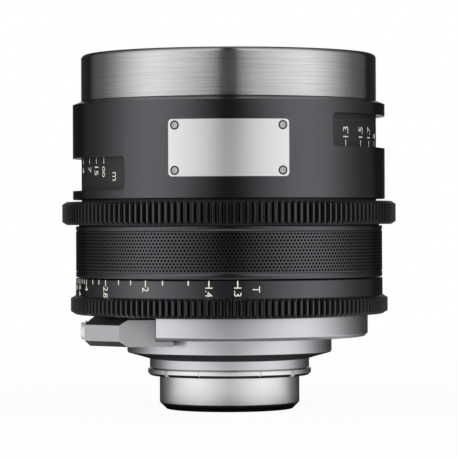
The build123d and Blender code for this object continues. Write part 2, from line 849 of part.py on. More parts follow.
def iris_base():
    """Fixed plate with a hole for each blade's pivot pin."""
    body = tube(barrel_inner, iris_opening_radius, iris_seat_z, iris_base_top_z)
    places = [turn * Pos(blade_pivot_radius, 0, iris_base_top_z) for turn in around(blade_count)]
    return drilled(body, places, pivot_pin_diameter / 2 + slot_fit, -pivot_pin_depth - slot_fit, overrun)


def iris_blade(layer):
    """One crescent blade, closed, with its pivot pin below and its drive pin above."""
    bottom = iris_base_top_z + blade_pitch * (layer + layer_share)
    top = bottom + blade_thickness
    start, end = radians(blade_start_angle), radians(blade_end_angle)
    middle = (start + end) / 2
    inner, outer = blade_inner_radius, blade_outer_radius
    tip_middle = (inner + outer) / 2
    tip_bulge = end + (outer - inner) / 2 / tip_middle
    outline = [
        ThreePointArc((inner * cos(start), inner * sin(start)), (inner * cos(middle), inner * sin(middle)),
                      (inner * cos(end), inner * sin(end))),
        ThreePointArc((inner * cos(end), inner * sin(end)),
                      (tip_middle * cos(tip_bulge), tip_middle * sin(tip_bulge)),
                      (outer * cos(end), outer * sin(end))),
        ThreePointArc((outer * cos(end), outer * sin(end)), (outer * cos(middle), outer * sin(middle)),
                      (outer * cos(start), outer * sin(start))),
        Line((outer * cos(start), outer * sin(start)), (inner * cos(start), inner * sin(start))),
    ]
    crescent = make_face(Curve() + outline)
    open_x, open_y = blade_drive_point(-blade_swing)
    ear = make_face(Polyline(
        (tip_middle * cos(start), tip_middle * sin(start)),
        (blade_pivot_radius, -pivot_ear_radius),
        (blade_pivot_radius + pivot_ear_radius, 0),
        (open_x + drive_ear_radius, open_y),
        (open_x, open_y + drive_ear_radius),
        (tip_middle * cos(start + tip_ear_turn()), tip_middle * sin(start + tip_ear_turn())),
        close=True,
    ))
    ear += Pos(blade_pivot_radius, 0) * Circle(pivot_ear_radius)
    ear += Pos(open_x, open_y) * Circle(drive_ear_radius)
    plate = extrude(crescent + ear, blade_thickness)
    pivot = Pos(blade_pivot_radius, 0, 0) * Cylinder(
        pivot_pin_diameter / 2, bottom - iris_base_top_z + pivot_pin_depth,
        align=hanging)
    drive = Pos(open_x, open_y, blade_thickness) * Cylinder(
        drive_pin_diameter / 2, cam_plate_z + drive_pin_reach - top,
        align=standing)
    blade = plate + pivot + drive
    hinge = Pos(blade_pivot_radius, 0, 0) * Rot(0, 0, blade_swing) * Pos(-blade_pivot_radius, 0, 0)
    return around(blade_count)[layer] * Pos(0, 0, bottom) * hinge * blade


def tip_ear_turn():
    """Angle along the blade that its ear spreads over, measured at the middle of the blade's width."""
    return radians(blade_end_angle - blade_start_angle) * ear_share


def iris_cam_plate():
    """Rotating plate whose spiral slots swing the blades."""
    body = tube(cell_radius, blade_inner_radius, cam_plate_z, cam_plate_top_z)
    slot = Pos(0, 0, cam_plate_z - overrun) * extrude(cam_slot(), cam_plate_thickness + 2 * overrun)
    body -= [turn * slot for turn in around(blade_count)]
    hole = radial_rod(driver_diameter / 2, cell_radius - driver_engagement, cell_radius + overrun, driver_z)
    return body - facing(driver_bearing) * hole


def iris_lid():
    """Threaded ring that keeps the cam plate down."""
    return tube(barrel_inner, iris_opening_radius, lid_z, lid_z + lid_thickness)


def iris_driver():
    """Pin that carries the iris ring's turn through the barrel into the cam plate."""
    tip = cell_radius - driver_engagement
    pin = radial_rod(driver_diameter / 2, tip, iris_scale_radius - driver_sink, driver_z)
    recess = extrude(RegularPolygon(driver_diameter * socket_share / 2, 6), driver_sink + overrun)
    pin -= Pos(iris_scale_radius - 2 * driver_sink, 0, driver_z) * Rot(0, right_angle, 0) * recess
    return facing(driver_bearing) * pin


def iris_scale_ring():
    """Ring with the aperture scale, carried by the main barrel, with the gear's seat behind it."""
    seat, outer, relief = iris_gear_seat_radius, iris_scale_radius, iris_relief_radius
    body = turned([
        (moving_bore, iris_bottom_z + iris_spigot_gap), (seat, iris_bottom_z + iris_spigot_gap),
        (seat, iris_scale_z), (outer, iris_scale_z), (outer, iris_top_z - edge_break),
        (outer - edge_break, iris_top_z), (relief, iris_top_z),
        (relief, iris_top_z - iris_relief_depth), (moving_bore, iris_top_z - iris_relief_depth),
    ])
    hole = radial_rod(driver_diameter / 2, moving_bore - overrun, outer + overrun, driver_z)
    return body - facing(driver_bearing) * hole


def iris_gear():
    """Gear ring behind the aperture scale."""
    return Pos(0, 0, iris_bottom_z) * gear_blank(iris_teeth, iris_gear_width, iris_gear_seat_radius)


def focus_gear():
    """Gear ring of the focus ring with the plain lip below it."""
    lip = tube(gear_lip_radius, gear_seat_radius, grip_top_z, gear_bottom_z)
    return Pos(0, 0, gear_bottom_z) * gear_blank(focus_teeth, focus_gear_width, gear_seat_radius) + lip


def focus_grip():
    """Grip sleeve with a scribed line near each end."""
    outer = grip_radius
    body = dressed_tube(outer, gear_seat_radius, grip_bottom_z, grip_top_z)
    for low in (grip_bottom_z + grip_strip, grip_top_z - grip_strip - grip_line_width):
        body -= tube(outer + overrun, outer - grip_line_depth, low, low + grip_line_width)
    return body


def focus_carrier():
    """Core of the focus ring: seats of grip, gear and drum on the outside, cam sleeve on the inside."""
    spigot = drum_inner
    relief = sleeve_outer + carrier_relief_wall
    body = turned([
        (sleeve_outer, grip_bottom_z), (gear_seat_radius, grip_bottom_z), (gear_seat_radius, gear_top_z),
        (spigot, gear_top_z), (spigot, gear_top_z + drum_spigot_length),
        (spigot - drum_spigot_wall, gear_top_z + drum_spigot_length),
        (spigot - drum_spigot_wall, gear_top_z - carrier_relief_depth),
        (sleeve_outer, gear_top_z - carrier_relief_depth),
    ])
    body -= tube(gear_seat_radius - carrier_relief_wall, relief, grip_bottom_z - overrun,
                 grip_bottom_z + carrier_relief_depth)
    return body - carrier_holes()


def carrier_screw_z():
    """Height of the set screws, in the middle of the carrier's solid band."""
    return (grip_bottom_z + gear_top_z) / 2


def carrier_holes():
    """Holes for the set screws between carrier and cam sleeve."""
    rod = radial_rod(carrier_screw_diameter / 2, sleeve_outer - carrier_screw_grip, gear_seat_radius,
                     carrier_screw_z())
    return [turn * rod for turn in around(carrier_screw_count, carrier_screw_bearing)]


def carrier_screws():
    """Set screws under the grip that lock the cam sleeve to the carrier."""
    rod = radial_rod(carrier_screw_diameter / 2, sleeve_outer - carrier_screw_grip,
                     gear_seat_radius - carrier_screw_grip, carrier_screw_z())
    recess = extrude(RegularPolygon(carrier_screw_diameter * socket_share / 2, 6), 2 * carrier_screw_grip)
    bottom = Pos(gear_seat_radius - 2 * carrier_screw_grip, 0, carrier_screw_z())
    rod -= bottom * Rot(0, right_angle, 0) * recess
    return [turn * rod for turn in around(carrier_screw_count, carrier_screw_bearing)]


def focus_scale_drum():
    """Thin drum that carries the distance scales behind the shell's windows."""
    body = tube(drum_radius, drum_inner, gear_top_z, drum_top_z)
    return body - focus_stop_pin()


def focus_stop_pin():
    """Pin in the drum's rim that runs in the shell's stop groove."""
    pin = Cylinder(stop_pin_diameter / 2, stop_pin_depth + stop_pin_reach,
                   align=standing)
    return facing(stop_pin_bearing) * Pos((drum_radius + drum_inner) / 2, 0,
                                                  drum_top_z - stop_pin_depth) * pin


def cam_sleeve():
    """Rotating sleeve with one helical slot for each roller."""
    body = tube(sleeve_outer, sleeve_inner, sleeve_bottom_z, sleeve_top_z)
    half = roller_diameter / 2 + slot_fit
    back = focus_throw_back + cam_margin_angle
    forward = focus_throw_forward + cam_margin_angle
    pitch = focus_rise * full_turn
    low_z = roller_z - focus_rise * back
    rise = focus_rise * (back + forward)
    path = Helix(pitch, rise, sleeve_outer, center=(0, 0, low_z), lefthand=True)
    depth = sleeve_wall + 2 * overrun
    section = Plane(path @ 0, x_dir=(1, 0, 0), z_dir=path % 0) * Pos(-sleeve_wall / 2, 0) * Rectangle(
        depth, 2 * half)
    ribbon = sweep(section, path, is_frenet=True)
    ribbon += radial_rod(half, sleeve_inner - overrun, sleeve_outer + overrun, low_z)
    ribbon += Rot(0, 0, -(back + forward)) * radial_rod(
        half, sleeve_inner - overrun, sleeve_outer + overrun, low_z + rise)
    ribbon = Rot(0, 0, back) * ribbon
    body -= [turn * ribbon for turn in around(roller_count, roller_bearing)]
    return body - carrier_holes()


def cam_rollers():
    """Rollers on the focusing cell, through the straight guides into the cam sleeve."""
    inner, outer = cell_radius - roller_seat_depth, sleeve_outer - roller_top_gap
    rod = radial_rod(roller_diameter / 2, inner, outer, roller_z)
    return [turn * rod for turn in around(roller_count, roller_bearing)]


def glass_seat(glass, play=0.0):
    """Radius of the bore that holds an element."""
    return glass["half"] + play


def focus_cell():
    """Sliding cell of the focusing group, with two guide lands and a shoulder for each element."""
    land = cell_radius
    relief = land - cell_relief_depth
    front_seat = focus_front_glass["edge_z"]
    rear_seat = focus_rear_glass["edge_z"]
    front_bore, rear_bore = glass_seat(focus_front_glass), glass_seat(focus_rear_glass)
    body = turned([
        (rear_bore - cell_step, cell_bottom_z), (land, cell_bottom_z), (land, cell_bottom_z + cell_land),
        (relief, cell_bottom_z + cell_land), (relief, cell_top_z - cell_land),
        (land, cell_top_z - cell_land), (land, cell_top_z), (front_bore + focus_retainer_wall(), cell_top_z),
        (front_bore + focus_retainer_wall(), front_seat + focus_front_glass["rim"]),
        (front_bore, front_seat + focus_front_glass["rim"]), (front_bore, front_seat),
        (front_bore - cell_step, front_seat - cell_step),
        (rear_bore + cell_step, rear_seat + focus_rear_glass["rim"] + cell_step),
        (rear_bore, rear_seat + focus_rear_glass["rim"]), (rear_bore, rear_seat),
        (rear_bore - cell_step, rear_seat - back_drop(focus_rear_glass, cell_step)),
    ])
    rod = radial_rod(roller_diameter / 2, cell_radius - roller_seat_depth, land + overrun, roller_z)
    return body - [turn * rod for turn in around(roller_count, roller_bearing)]


def focus_retainer_wall():
    """How far the focusing group's retaining ring reaches outside its element."""
    return cell_step / 2


def front_rise(glass, step):
    """How far an element's front face rises from its edge to a step inside it, with a running gap."""
    inside = glass["half"] - step
    return max(sag(glass["front"], glass["half"]) - sag(glass["front"], inside), 0) + running_fit


def back_drop(glass, step):
    """How far an element's rear face falls from its edge to a step inside it, with a running gap."""
    inside = glass["half"] - step
    return max(sag(glass["back"], inside) - sag(glass["back"], glass["half"]), 0) + running_fit


def retaining_ring(glass, wall, lip, top):
    """Ring screwed in front of an element, with a bevelled lip over the edge of its front face."""
    half = glass["half"]
    seat = glass["edge_z"] + glass["rim"]
    rise = front_rise(glass, lip)
    return turned([
        (half, seat), (half + wall, seat), (half + wall, top), (half, top),
        (half - lip, seat + rise + lip / 2), (half - lip, seat + rise), (half, seat + running_fit),
    ])


def focus_retainer():
    """Ring that holds the focusing group's front element."""
    return retaining_ring(focus_front_glass, focus_retainer_wall(), front_retainer_lip, cell_top_z)


def barrel_shell():
    """Outer shell with its front web, the two scale windows and the seat of the name plate."""
    body = turned([
        (shell_inner, shell_bottom_z), (shell_radius - edge_break, shell_bottom_z),
        (shell_radius, shell_bottom_z + edge_break),
        (shell_radius, shell_top_z - shell_chamfer_height), (shell_inner, shell_top_z),
        (barrel_inner, shell_top_z), (barrel_inner, web_bottom_z), (shell_inner, web_bottom_z),
    ])
    for first, lift in (
        (window_edge_bearing, right_window_lift),
        (-window_edge_bearing - window_sweep, left_window_lift),
    ):
        low = shell_bottom_z + lift
        body -= rounded_wedge(shell_radius + overrun, shell_inner - overrun, low, low + window_height,
                              first, window_sweep, window_round)
    body -= plate_blank(shell_radius + overrun, plate_floor())
    for place in plate_screw_places(plate_floor()):
        body -= place * Cylinder(plate_screw_shank / 2, plate_screw_grip, align=hanging)
    places = screw_places(shell_screw_count, shell_screw_circle, shell_top_z)
    body = drilled(body, places, small_shank / 2 + running_fit, -web_thickness - overrun, overrun)
    body = drilled(body, places, small_head / 2 + running_fit, -small_head_height, overrun)
    ring_places = screw_places(front_screw_count, front_screw_circle, web_bottom_z,
                               first_bearing=web_screw_bearing)
    body = drilled(body, ring_places, small_shank / 2 + running_fit, -overrun, web_thickness + overrun)
    body = drilled(body, ring_places, small_head / 2 + running_fit, -overrun, small_head_height)
    cell_places = screw_places(cell_screw_count, cell_screw_circle, shell_top_z,
                               first_bearing=web_screw_bearing)
    body = drilled(body, cell_places, small_shank / 2, -cell_screw_grip, overrun)
    spare = degrees((stop_pin_diameter / 2 + stop_groove_wall) / drum_radius)
    middle = (drum_radius + drum_inner) / 2
    reach = stop_pin_diameter / 2 + stop_groove_wall
    body -= wedge(middle + reach, middle - reach, web_bottom_z - overrun, web_bottom_z + stop_groove_depth,
                  stop_pin_bearing - focus_throw_back - spare,
                  focus_throw_back + focus_throw_forward + 2 * spare)
    return body


def plate_floor():
    """Radius of the shell's seat under the name plate."""
    return shell_radius + plate_stand - plate_thickness


def plate_blank(outer, inner):
    """The name plate's curved shape between two radii."""
    low = shell_bottom_z + plate_lift
    return rounded_wedge(outer, inner, low, low + plate_height, -plate_half_angle, 2 * plate_half_angle,
                         plate_round)


def plate_screw_places(radius):
    """Places of the four plate screws at a radius, pointing outwards."""
    low = shell_bottom_z + plate_lift + plate_screw_inset
    high = shell_bottom_z + plate_lift + plate_height - plate_screw_inset
    return [facing(bearing) * Pos(radius, 0, height) * Rot(0, right_angle, 0)
            for bearing in (-plate_screw_bearing, plate_screw_bearing) for height in (low, high)]


def plate_screw_seat_cut():
    """The space of one plate screw: hole for its shank and bevelled seat, open outwards."""
    shank, head = plate_screw_shank / 2 + running_fit, plate_screw_diameter / 2 + running_fit
    seat = plate_thickness - plate_screw_seat_depth
    return turned([
        (0, -plate_thickness), (shank, -plate_thickness), (shank, seat), (head, seat),
        (plate_screw_seat / 2, plate_thickness), (plate_screw_seat / 2, plate_thickness + overrun),
        (0, plate_thickness + overrun),
    ])


def name_plate():
    """Curved plate, left bare, with four countersunk screw seats."""
    body = plate_blank(shell_radius + plate_stand, plate_floor())
    return body - [place * plate_screw_seat_cut() for place in plate_screw_places(plate_floor())]


def plate_screws():
    """Four hex socket screws of the name plate."""
    seat = plate_thickness - plate_screw_seat_depth
    screw = Pos(0, 0, seat) * socket_screw(
        plate_screw_shank, seat + plate_screw_grip, plate_screw_diameter, plate_screw_seat_depth)
    return [place * screw for place in plate_screw_places(plate_floor())]


def shell_screws():
    """Screws through the shell's web into the end of the main barrel."""
    screw = socket_screw(small_shank, web_thickness - small_head_height + shell_screw_grip,
                         small_head, small_head_height)
    return [place * Pos(0, 0, -small_head_height) * screw
            for place in screw_places(shell_screw_count, shell_screw_circle, shell_top_z)]


def front_ring_screws():
    """Screws from inside the shell's web into the front ring."""
    screw = socket_screw(small_shank, web_thickness - small_head_height + front_screw_grip,
                         small_head, small_head_height)
    places = screw_places(front_screw_count, front_screw_circle, web_bottom_z + small_head_height,
                          upward=True, first_bearing=web_screw_bearing)
    return [place * screw for place in places]


def front_ring():
    """Bright front ring with the accessory thread's bore and a shoulder for the baffle."""
    body = turned([
        (front_bore_radius, shell_top_z), (front_radius - edge_break, shell_top_z),
        (front_radius, shell_top_z + edge_break), (front_radius, front_z),
        (thread_radius + mouth_chamfer, front_z), (thread_radius, front_z - mouth_chamfer),
        (thread_radius, thread_floor_z), (baffle_seat_radius, thread_floor_z),
        (baffle_seat_radius, thread_floor_z - baffle_flange),
        (front_bore_radius, thread_floor_z - baffle_flange),
    ])
    rim = [edge for edge in body.edges().filter_by(GeomType.CIRCLE)
           if abs(edge.radius - front_radius) < running_fit and abs(edge.center().Z - front_z) < running_fit]
    body = fillet(rim, front_round)
    places = screw_places(front_screw_count, front_screw_circle, shell_top_z,
                          first_bearing=web_screw_bearing)
    return drilled(body, places, small_shank / 2, -overrun, front_screw_grip)


def cell_mouth_z():
    """Height of the front cell's mouth."""
    return shell_top_z + front_cell_height


def front_cell():
    """Cell of the two fixed front elements, flanged onto the shell's web."""
    outer = glass_seat(front_glass) + front_cell_wall
    front_seat, second_seat = front_glass["edge_z"], second_glass["edge_z"]
    front_half, second_half = glass_seat(front_glass), glass_seat(second_glass)
    flange = front_bore_radius - baffle_flange_play
    spigot = barrel_inner - running_fit
    low = shell_top_z - front_cell_spigot
    body = turned([
        (second_half - cell_step, low), (spigot, low),
        (spigot, shell_top_z), (flange, shell_top_z), (flange, shell_top_z + front_cell_flange),
        (outer, shell_top_z + front_cell_flange), (outer, cell_mouth_z()),
        (outer - front_cell_wall / 2, cell_mouth_z()),
        (outer - front_cell_wall / 2, front_seat + front_glass["rim"]),
        (front_half, front_seat + front_glass["rim"]), (front_half, front_seat),
        (front_half - cell_step, front_seat - front_cell_lip),
        (second_half, second_seat + second_glass["rim"]), (second_half, second_seat),
        (second_half - cell_step, second_seat),
    ])
    places = screw_places(cell_screw_count, cell_screw_circle, shell_top_z, first_bearing=web_screw_bearing)
    return drilled(body, places, small_shank / 2 + running_fit, -overrun, front_cell_flange + overrun)


def cell_screws():
    """Screws through the front cell's flange into the shell's web."""
    screw = socket_screw(small_shank, front_cell_flange + cell_screw_grip, small_head, small_head_height)
    places = screw_places(cell_screw_count, cell_screw_circle, shell_top_z + front_cell_flange,
                          first_bearing=web_screw_bearing)
    return [place * screw for place in places]


def front_retainer():
    """Threaded ring around the front element."""
    top = cell_mouth_z() + front_retainer_stand
    return retaining_ring(front_glass, front_cell_wall / 2, front_retainer_lip, top)


def front_baffle():
    """Black stepped ring between the front ring's shoulder and the front cell."""
    outer = baffle_seat_radius - baffle_flange_play
    skirt = front_bore_radius - baffle_flange_play
    inner = glass_seat(front_glass) + front_cell_wall + baffle_flange_play
    low = thread_floor_z - baffle_depth
    shoulder = thread_floor_z - baffle_flange
    rise = (thread_floor_z - low) / (baffle_ridges + 1)
    tread = (outer - baffle_flange - inner) / (baffle_ridges + 1)
    corners = [(inner, low), (skirt, low), (skirt, shoulder), (outer, shoulder), (outer, thread_floor_z),
               (outer - baffle_flange, thread_floor_z)]
    for step in range(1, baffle_ridges + 1):
        radius = outer - baffle_flange - tread * step
        height = thread_floor_z - rise * (step - 1)
        corners.append((radius, height - rise * baffle_ridge_share))
        corners.append((radius, height - rise))
    corners.append((inner, low + rise))
    return turned(corners)


def rear_cell():
    """Stepped cell of the rear group, flanged onto the rear barrel."""
    narrow = rear_cell_radius
    pocket = pocket_radius - baffle_flange_play
    collar, head = collar_radius, rear_cell_head_radius
    inner_seat, rear_seat = rear_inner_glass["edge_z"], rear_glass["edge_z"]
    inner_half, rear_half = glass_seat(rear_inner_glass), glass_seat(rear_glass)
    step_z = waist_top_z - barrel_pocket_depth + baffle_flange_play
    head_z = iris_seat_z - rear_cell_head_gap
    rim_z = rear_seat + rear_glass["rim"]
    return turned([
        (rear_half + rear_retainer_lip, rear_cell_end_z), (narrow, rear_cell_end_z), (narrow, step_z),
        (pocket, step_z), (pocket, waist_top_z), (collar, waist_top_z),
        (collar, waist_top_z + rear_cell_collar_thickness), (head, waist_top_z + rear_cell_collar_thickness),
        (head, head_z), (inner_half, head_z), (inner_half, inner_seat),
        (inner_half - cell_step, inner_seat - cell_step),
        (rear_half - rear_retainer_lip, rim_z + cell_step),
        (rear_half - rear_retainer_lip, rim_z + front_rise(rear_glass, rear_retainer_lip)),
        (rear_half, rim_z), (rear_half, rear_seat),
        (rear_half + rear_retainer_lip, rear_seat),
    ])


def rear_retainer():
    """Threaded ring behind the rear element."""
    half = rear_glass["half"]
    seat = rear_glass["edge_z"]
    outer, inner = half + rear_retainer_lip, half - rear_retainer_lip
    lip_z = seat - back_drop(rear_glass, rear_retainer_lip)
    low = lip_z - rear_retainer_height
    return turned([
        (half, seat), (outer, seat), (outer, low), (half, low), (inner, lip_z - rear_retainer_lip / 2),
        (inner, lip_z), (half, seat - running_fit),
    ])


def element(glass):
    """One glass element."""
    return lens(**glass)


pieces = {
    "bayonet_mount": bayonet_mount(),
    "mount_screws": mount_screws(),
    "mount_shim": mount_shim(),
    "tail_guard": tail_guard(),
    "rear_barrel": rear_barrel(),
    "rear_cover": rear_cover(),
    "cover_screws": cover_screws(),
    "sensor_board": sensor_board(),
    "data_port_housing": data_port_housing(),
    "data_port_socket": data_port_socket(),
    "data_port_contacts": data_port_contacts(),
    "port_screws": port_screws(),
    "main_barrel": main_barrel(),
    "barrel_screws": barrel_screws(),
    "iris_base": iris_base(),
    "iris_cam_plate": iris_cam_plate(),
    "iris_lid": iris_lid(),
    "iris_driver": iris_driver(),
    "iris_scale_ring": iris_scale_ring(),
    "iris_gear": iris_gear(),
    "focus_gear": focus_gear(),
    "focus_grip": focus_grip(),
    "focus_carrier": focus_carrier(),
    "carrier_screws": carrier_screws(),
    "focus_scale_drum": focus_scale_drum(),
    "focus_stop_pin": focus_stop_pin(),
    "cam_sleeve": cam_sleeve(),
    "cam_rollers": cam_rollers(),
    "focus_cell": focus_cell(),
    "focus_retainer": focus_retainer(),
    "focus_front_element": element(focus_front_glass),
    "focus_rear_element": element(focus_rear_glass),
    "barrel_shell": barrel_shell(),
    "shell_screws": shell_screws(),
    "name_plate": name_plate(),
    "plate_screws": plate_screws(),
    "front_ring": front_ring(),
    "front_ring_screws": front_ring_screws(),
    "front_cell": front_cell(),
    "cell_screws": cell_screws(),
    "front_element": element(front_glass),
    "second_element": element(second_glass),
    "front_retainer": front_retainer(),
    "front_baffle": front_baffle(),
    "rear_cell": rear_cell(),
    "rear_inner_element": element(rear_inner_glass),
    "rear_element": element(rear_glass),
    "rear_retainer": rear_retainer(),
}
for layer in range(blade_count):
    pieces[f"iris_blade_{layer + 1}"] = iris_blade(layer)

os.makedirs("parts", exist_ok=True)
for name, shape in pieces.items():
    solids = shape if isinstance(shape, list) else [shape]
    whole = Compound(children=[solid for item in solids for solid in item.solids()])
    whole.label = name
    export_step(whole, os.path.join("parts", f"{name}.step"))
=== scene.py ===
import logging
import math
from dataclasses import dataclass
from enum import Enum
from typing import Callable, ClassVar, Iterable, Mapping, Sequence

import bmesh
import bpy
from mathutils import Matrix, Vector


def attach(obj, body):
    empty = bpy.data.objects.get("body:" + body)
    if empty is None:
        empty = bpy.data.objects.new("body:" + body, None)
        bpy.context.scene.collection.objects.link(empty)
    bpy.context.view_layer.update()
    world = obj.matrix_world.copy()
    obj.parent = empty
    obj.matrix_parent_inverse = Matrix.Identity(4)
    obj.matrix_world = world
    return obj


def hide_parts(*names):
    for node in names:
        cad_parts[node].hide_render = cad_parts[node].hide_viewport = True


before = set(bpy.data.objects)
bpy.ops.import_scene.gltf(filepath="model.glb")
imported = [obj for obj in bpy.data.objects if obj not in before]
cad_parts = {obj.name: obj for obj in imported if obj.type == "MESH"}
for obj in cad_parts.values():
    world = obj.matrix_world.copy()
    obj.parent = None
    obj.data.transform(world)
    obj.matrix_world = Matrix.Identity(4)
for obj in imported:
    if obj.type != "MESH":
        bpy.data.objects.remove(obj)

log = logging.getLogger("cinema_lens")

MM = 0.001
TURN = 2 * math.pi
Point = tuple[float, float]
Colour = tuple[float, float, float]
Shape = bmesh.types.BMesh
WHITE: Colour = (1.0, 1.0, 1.0)
MADE: dict[str, bpy.types.Material] = {}


def operator(operation: str, turned: bool = False) -> Callable[["Flow", "Flow | float"], "Flow"]:
    """A Python operator of flows that adds a Math node.

    Args:
        operation: The node's operation.
        turned: Whether the flow is the second of the two values.

    Returns:
        The operator's method.
    """

    def method(flow: "Flow", other: "Flow | float") -> "Flow":
        """Adds the node for the flow and the other value."""
        first, second = (other, flow) if turned else (flow, other)
        return flow.recipe.sum(operation, first, second)

    return method


class Flow:
    """A value that runs between shader nodes and takes part in Python sums."""

    def __init__(self, recipe: "Recipe", socket: bpy.types.NodeSocket) -> None:
        """Wraps one output.

        Args:
            recipe: The recipe whose nodes carry the value.
            socket: The output that gives it.
        """
        self.recipe = recipe
        self.socket = socket

    __add__ = __radd__ = operator("ADD")
    __mul__ = __rmul__ = operator("MULTIPLY")
    __sub__ = operator("SUBTRACT")
    __rsub__ = operator("SUBTRACT", turned=True)
    __truediv__ = operator("DIVIDE")
    __pow__ = operator("POWER")

    def __abs__(self) -> "Flow":
        """This value without its sign."""
        return self.recipe.sum("ABSOLUTE", self, 0.0)


class Recipe:
    """The nodes of one material or of the world, added from expressions."""

    def __init__(self, tree: bpy.types.NodeTree) -> None:
        """Empties a node tree and starts with nothing in it.

        Args:
            tree: The node tree of a material or of the world.
        """
        self.tree = tree
        tree.nodes.clear()

    def node(
        self,
        kind: str,
        settings: Mapping[str, object] | None = None,
        inputs: Mapping[int | str, object] | None = None,
        output: int | str = 0,
    ) -> Flow:
        """Adds one node.

        Args:
            kind: The node's type, without the ShaderNode before it.
            settings: Its own settings, set before its inputs; "stops" gives a colour ramp its stops.
            inputs: Values or flows for its inputs.
            output: Which output the result carries.

        Returns:
            The chosen output as a flow.
        """
        made = self.tree.nodes.new(f"ShaderNode{kind}")
        for name, value in (settings or {}).items():
            if name == "stops":
                self.set_stops(made.color_ramp, value)
            else:
                setattr(made, name, value)
        for name, value in (inputs or {}).items():
            if isinstance(value, Flow):
                self.tree.links.new(value.socket, made.inputs[name])
            else:
                made.inputs[name].default_value = value
        return Flow(self, made.outputs[output] if made.outputs else None)

    @staticmethod
    def set_stops(ramp: bpy.types.ColorRamp, stops: Sequence[Point]) -> None:
        """Gives a ramp its grey stops.

        Args:
            ramp: The ramp to set.
            stops: Pairs of place and brightness, from low to high.
        """
        while len(ramp.elements) < len(stops):
            ramp.elements.new(1.0)
        for element, (place, grey) in zip(ramp.elements, stops):
            element.position = place
            element.color = (grey, grey, grey, 1.0)

    def sum(self, operation: str, first: Flow | float, second: Flow | float) -> Flow:
        """Adds a Math node for one operation on two values."""
        return self.node("Math", {"operation": operation}, {0: first, 1: second})

    def place(self) -> Flow:
        """The point on the surface, in metres in the lens's own frame."""
        return self.node("TexCoord", output="Object")

    def axes(self, point: Flow) -> list[Flow]:
        """The three coordinates of a point or direction."""
        return [self.node("SeparateXYZ", inputs={0: point}, output=axis) for axis in range(3)]

    def bearing(self, x: Flow, y: Flow) -> Flow:
        """Bearing of a place from the camera's side, as a share of half a turn."""
        return abs(self.sum("ARCTAN2", x, y * -1.0)) * (1 / math.pi)

    def vector(self, x: Flow | float, y: Flow | float, z: Flow | float) -> Flow:
        """Joins three values to a vector."""
        return self.node("CombineXYZ", inputs={0: x, 1: y, 2: z})

    def noise(self, where: Flow, scale: float, detail: float = 3.0, roughness: float = 0.55) -> Flow:
        """Cloudy noise between 0 and 1 at a place."""
        inputs = {"Vector": where, "Scale": scale, "Detail": detail, "Roughness": roughness}
        return self.node("TexNoise", inputs=inputs)

    def ramp(self, value: Flow, stops: Sequence[Point]) -> Flow:
        """Grey by a value between 0 and 1.

        Args:
            value: The value.
            stops: Pairs of value and grey, from low to high.

        Returns:
            The grey.
        """
        return self.node("ValToRGB", {"stops": stops}, {0: value})

    def spread(self, value: Flow, low: float, high: float) -> Flow:
        """Stretches a value between 0 and 1 to run from low to high."""
        return value * (high - low) + low

    def mixed(self, share: Flow | float, first: Colour, second: Colour) -> Flow:
        """Blends two colours by a share."""
        return self.node("Mix", {"data_type": "RGBA"}, {0: share, 6: (*first, 1.0), 7: (*second, 1.0)}, 2)


def shaded(name: str, surface: Callable[[Recipe], Flow]) -> bpy.types.Material:
    """A material, made once for each name.

    Args:
        name: The material's name.
        surface: Adds its nodes to a recipe and returns the surface.

    Returns:
        The material.
    """
    if name not in MADE:
        material = bpy.data.materials.new(name)
        material.use_nodes = True
        recipe = Recipe(material.node_tree)
        recipe.node("OutputMaterial", inputs={"Surface": surface(recipe)})
        MADE[name] = material
    return MADE[name]


class Grain(Enum):
    """How a surface was worked, which is the way its fine marks run."""

    AROUND = "turned round the optical axis"
    BLASTED = "blasted, without a direction"
    RADIAL = "drawn from the axis outwards"


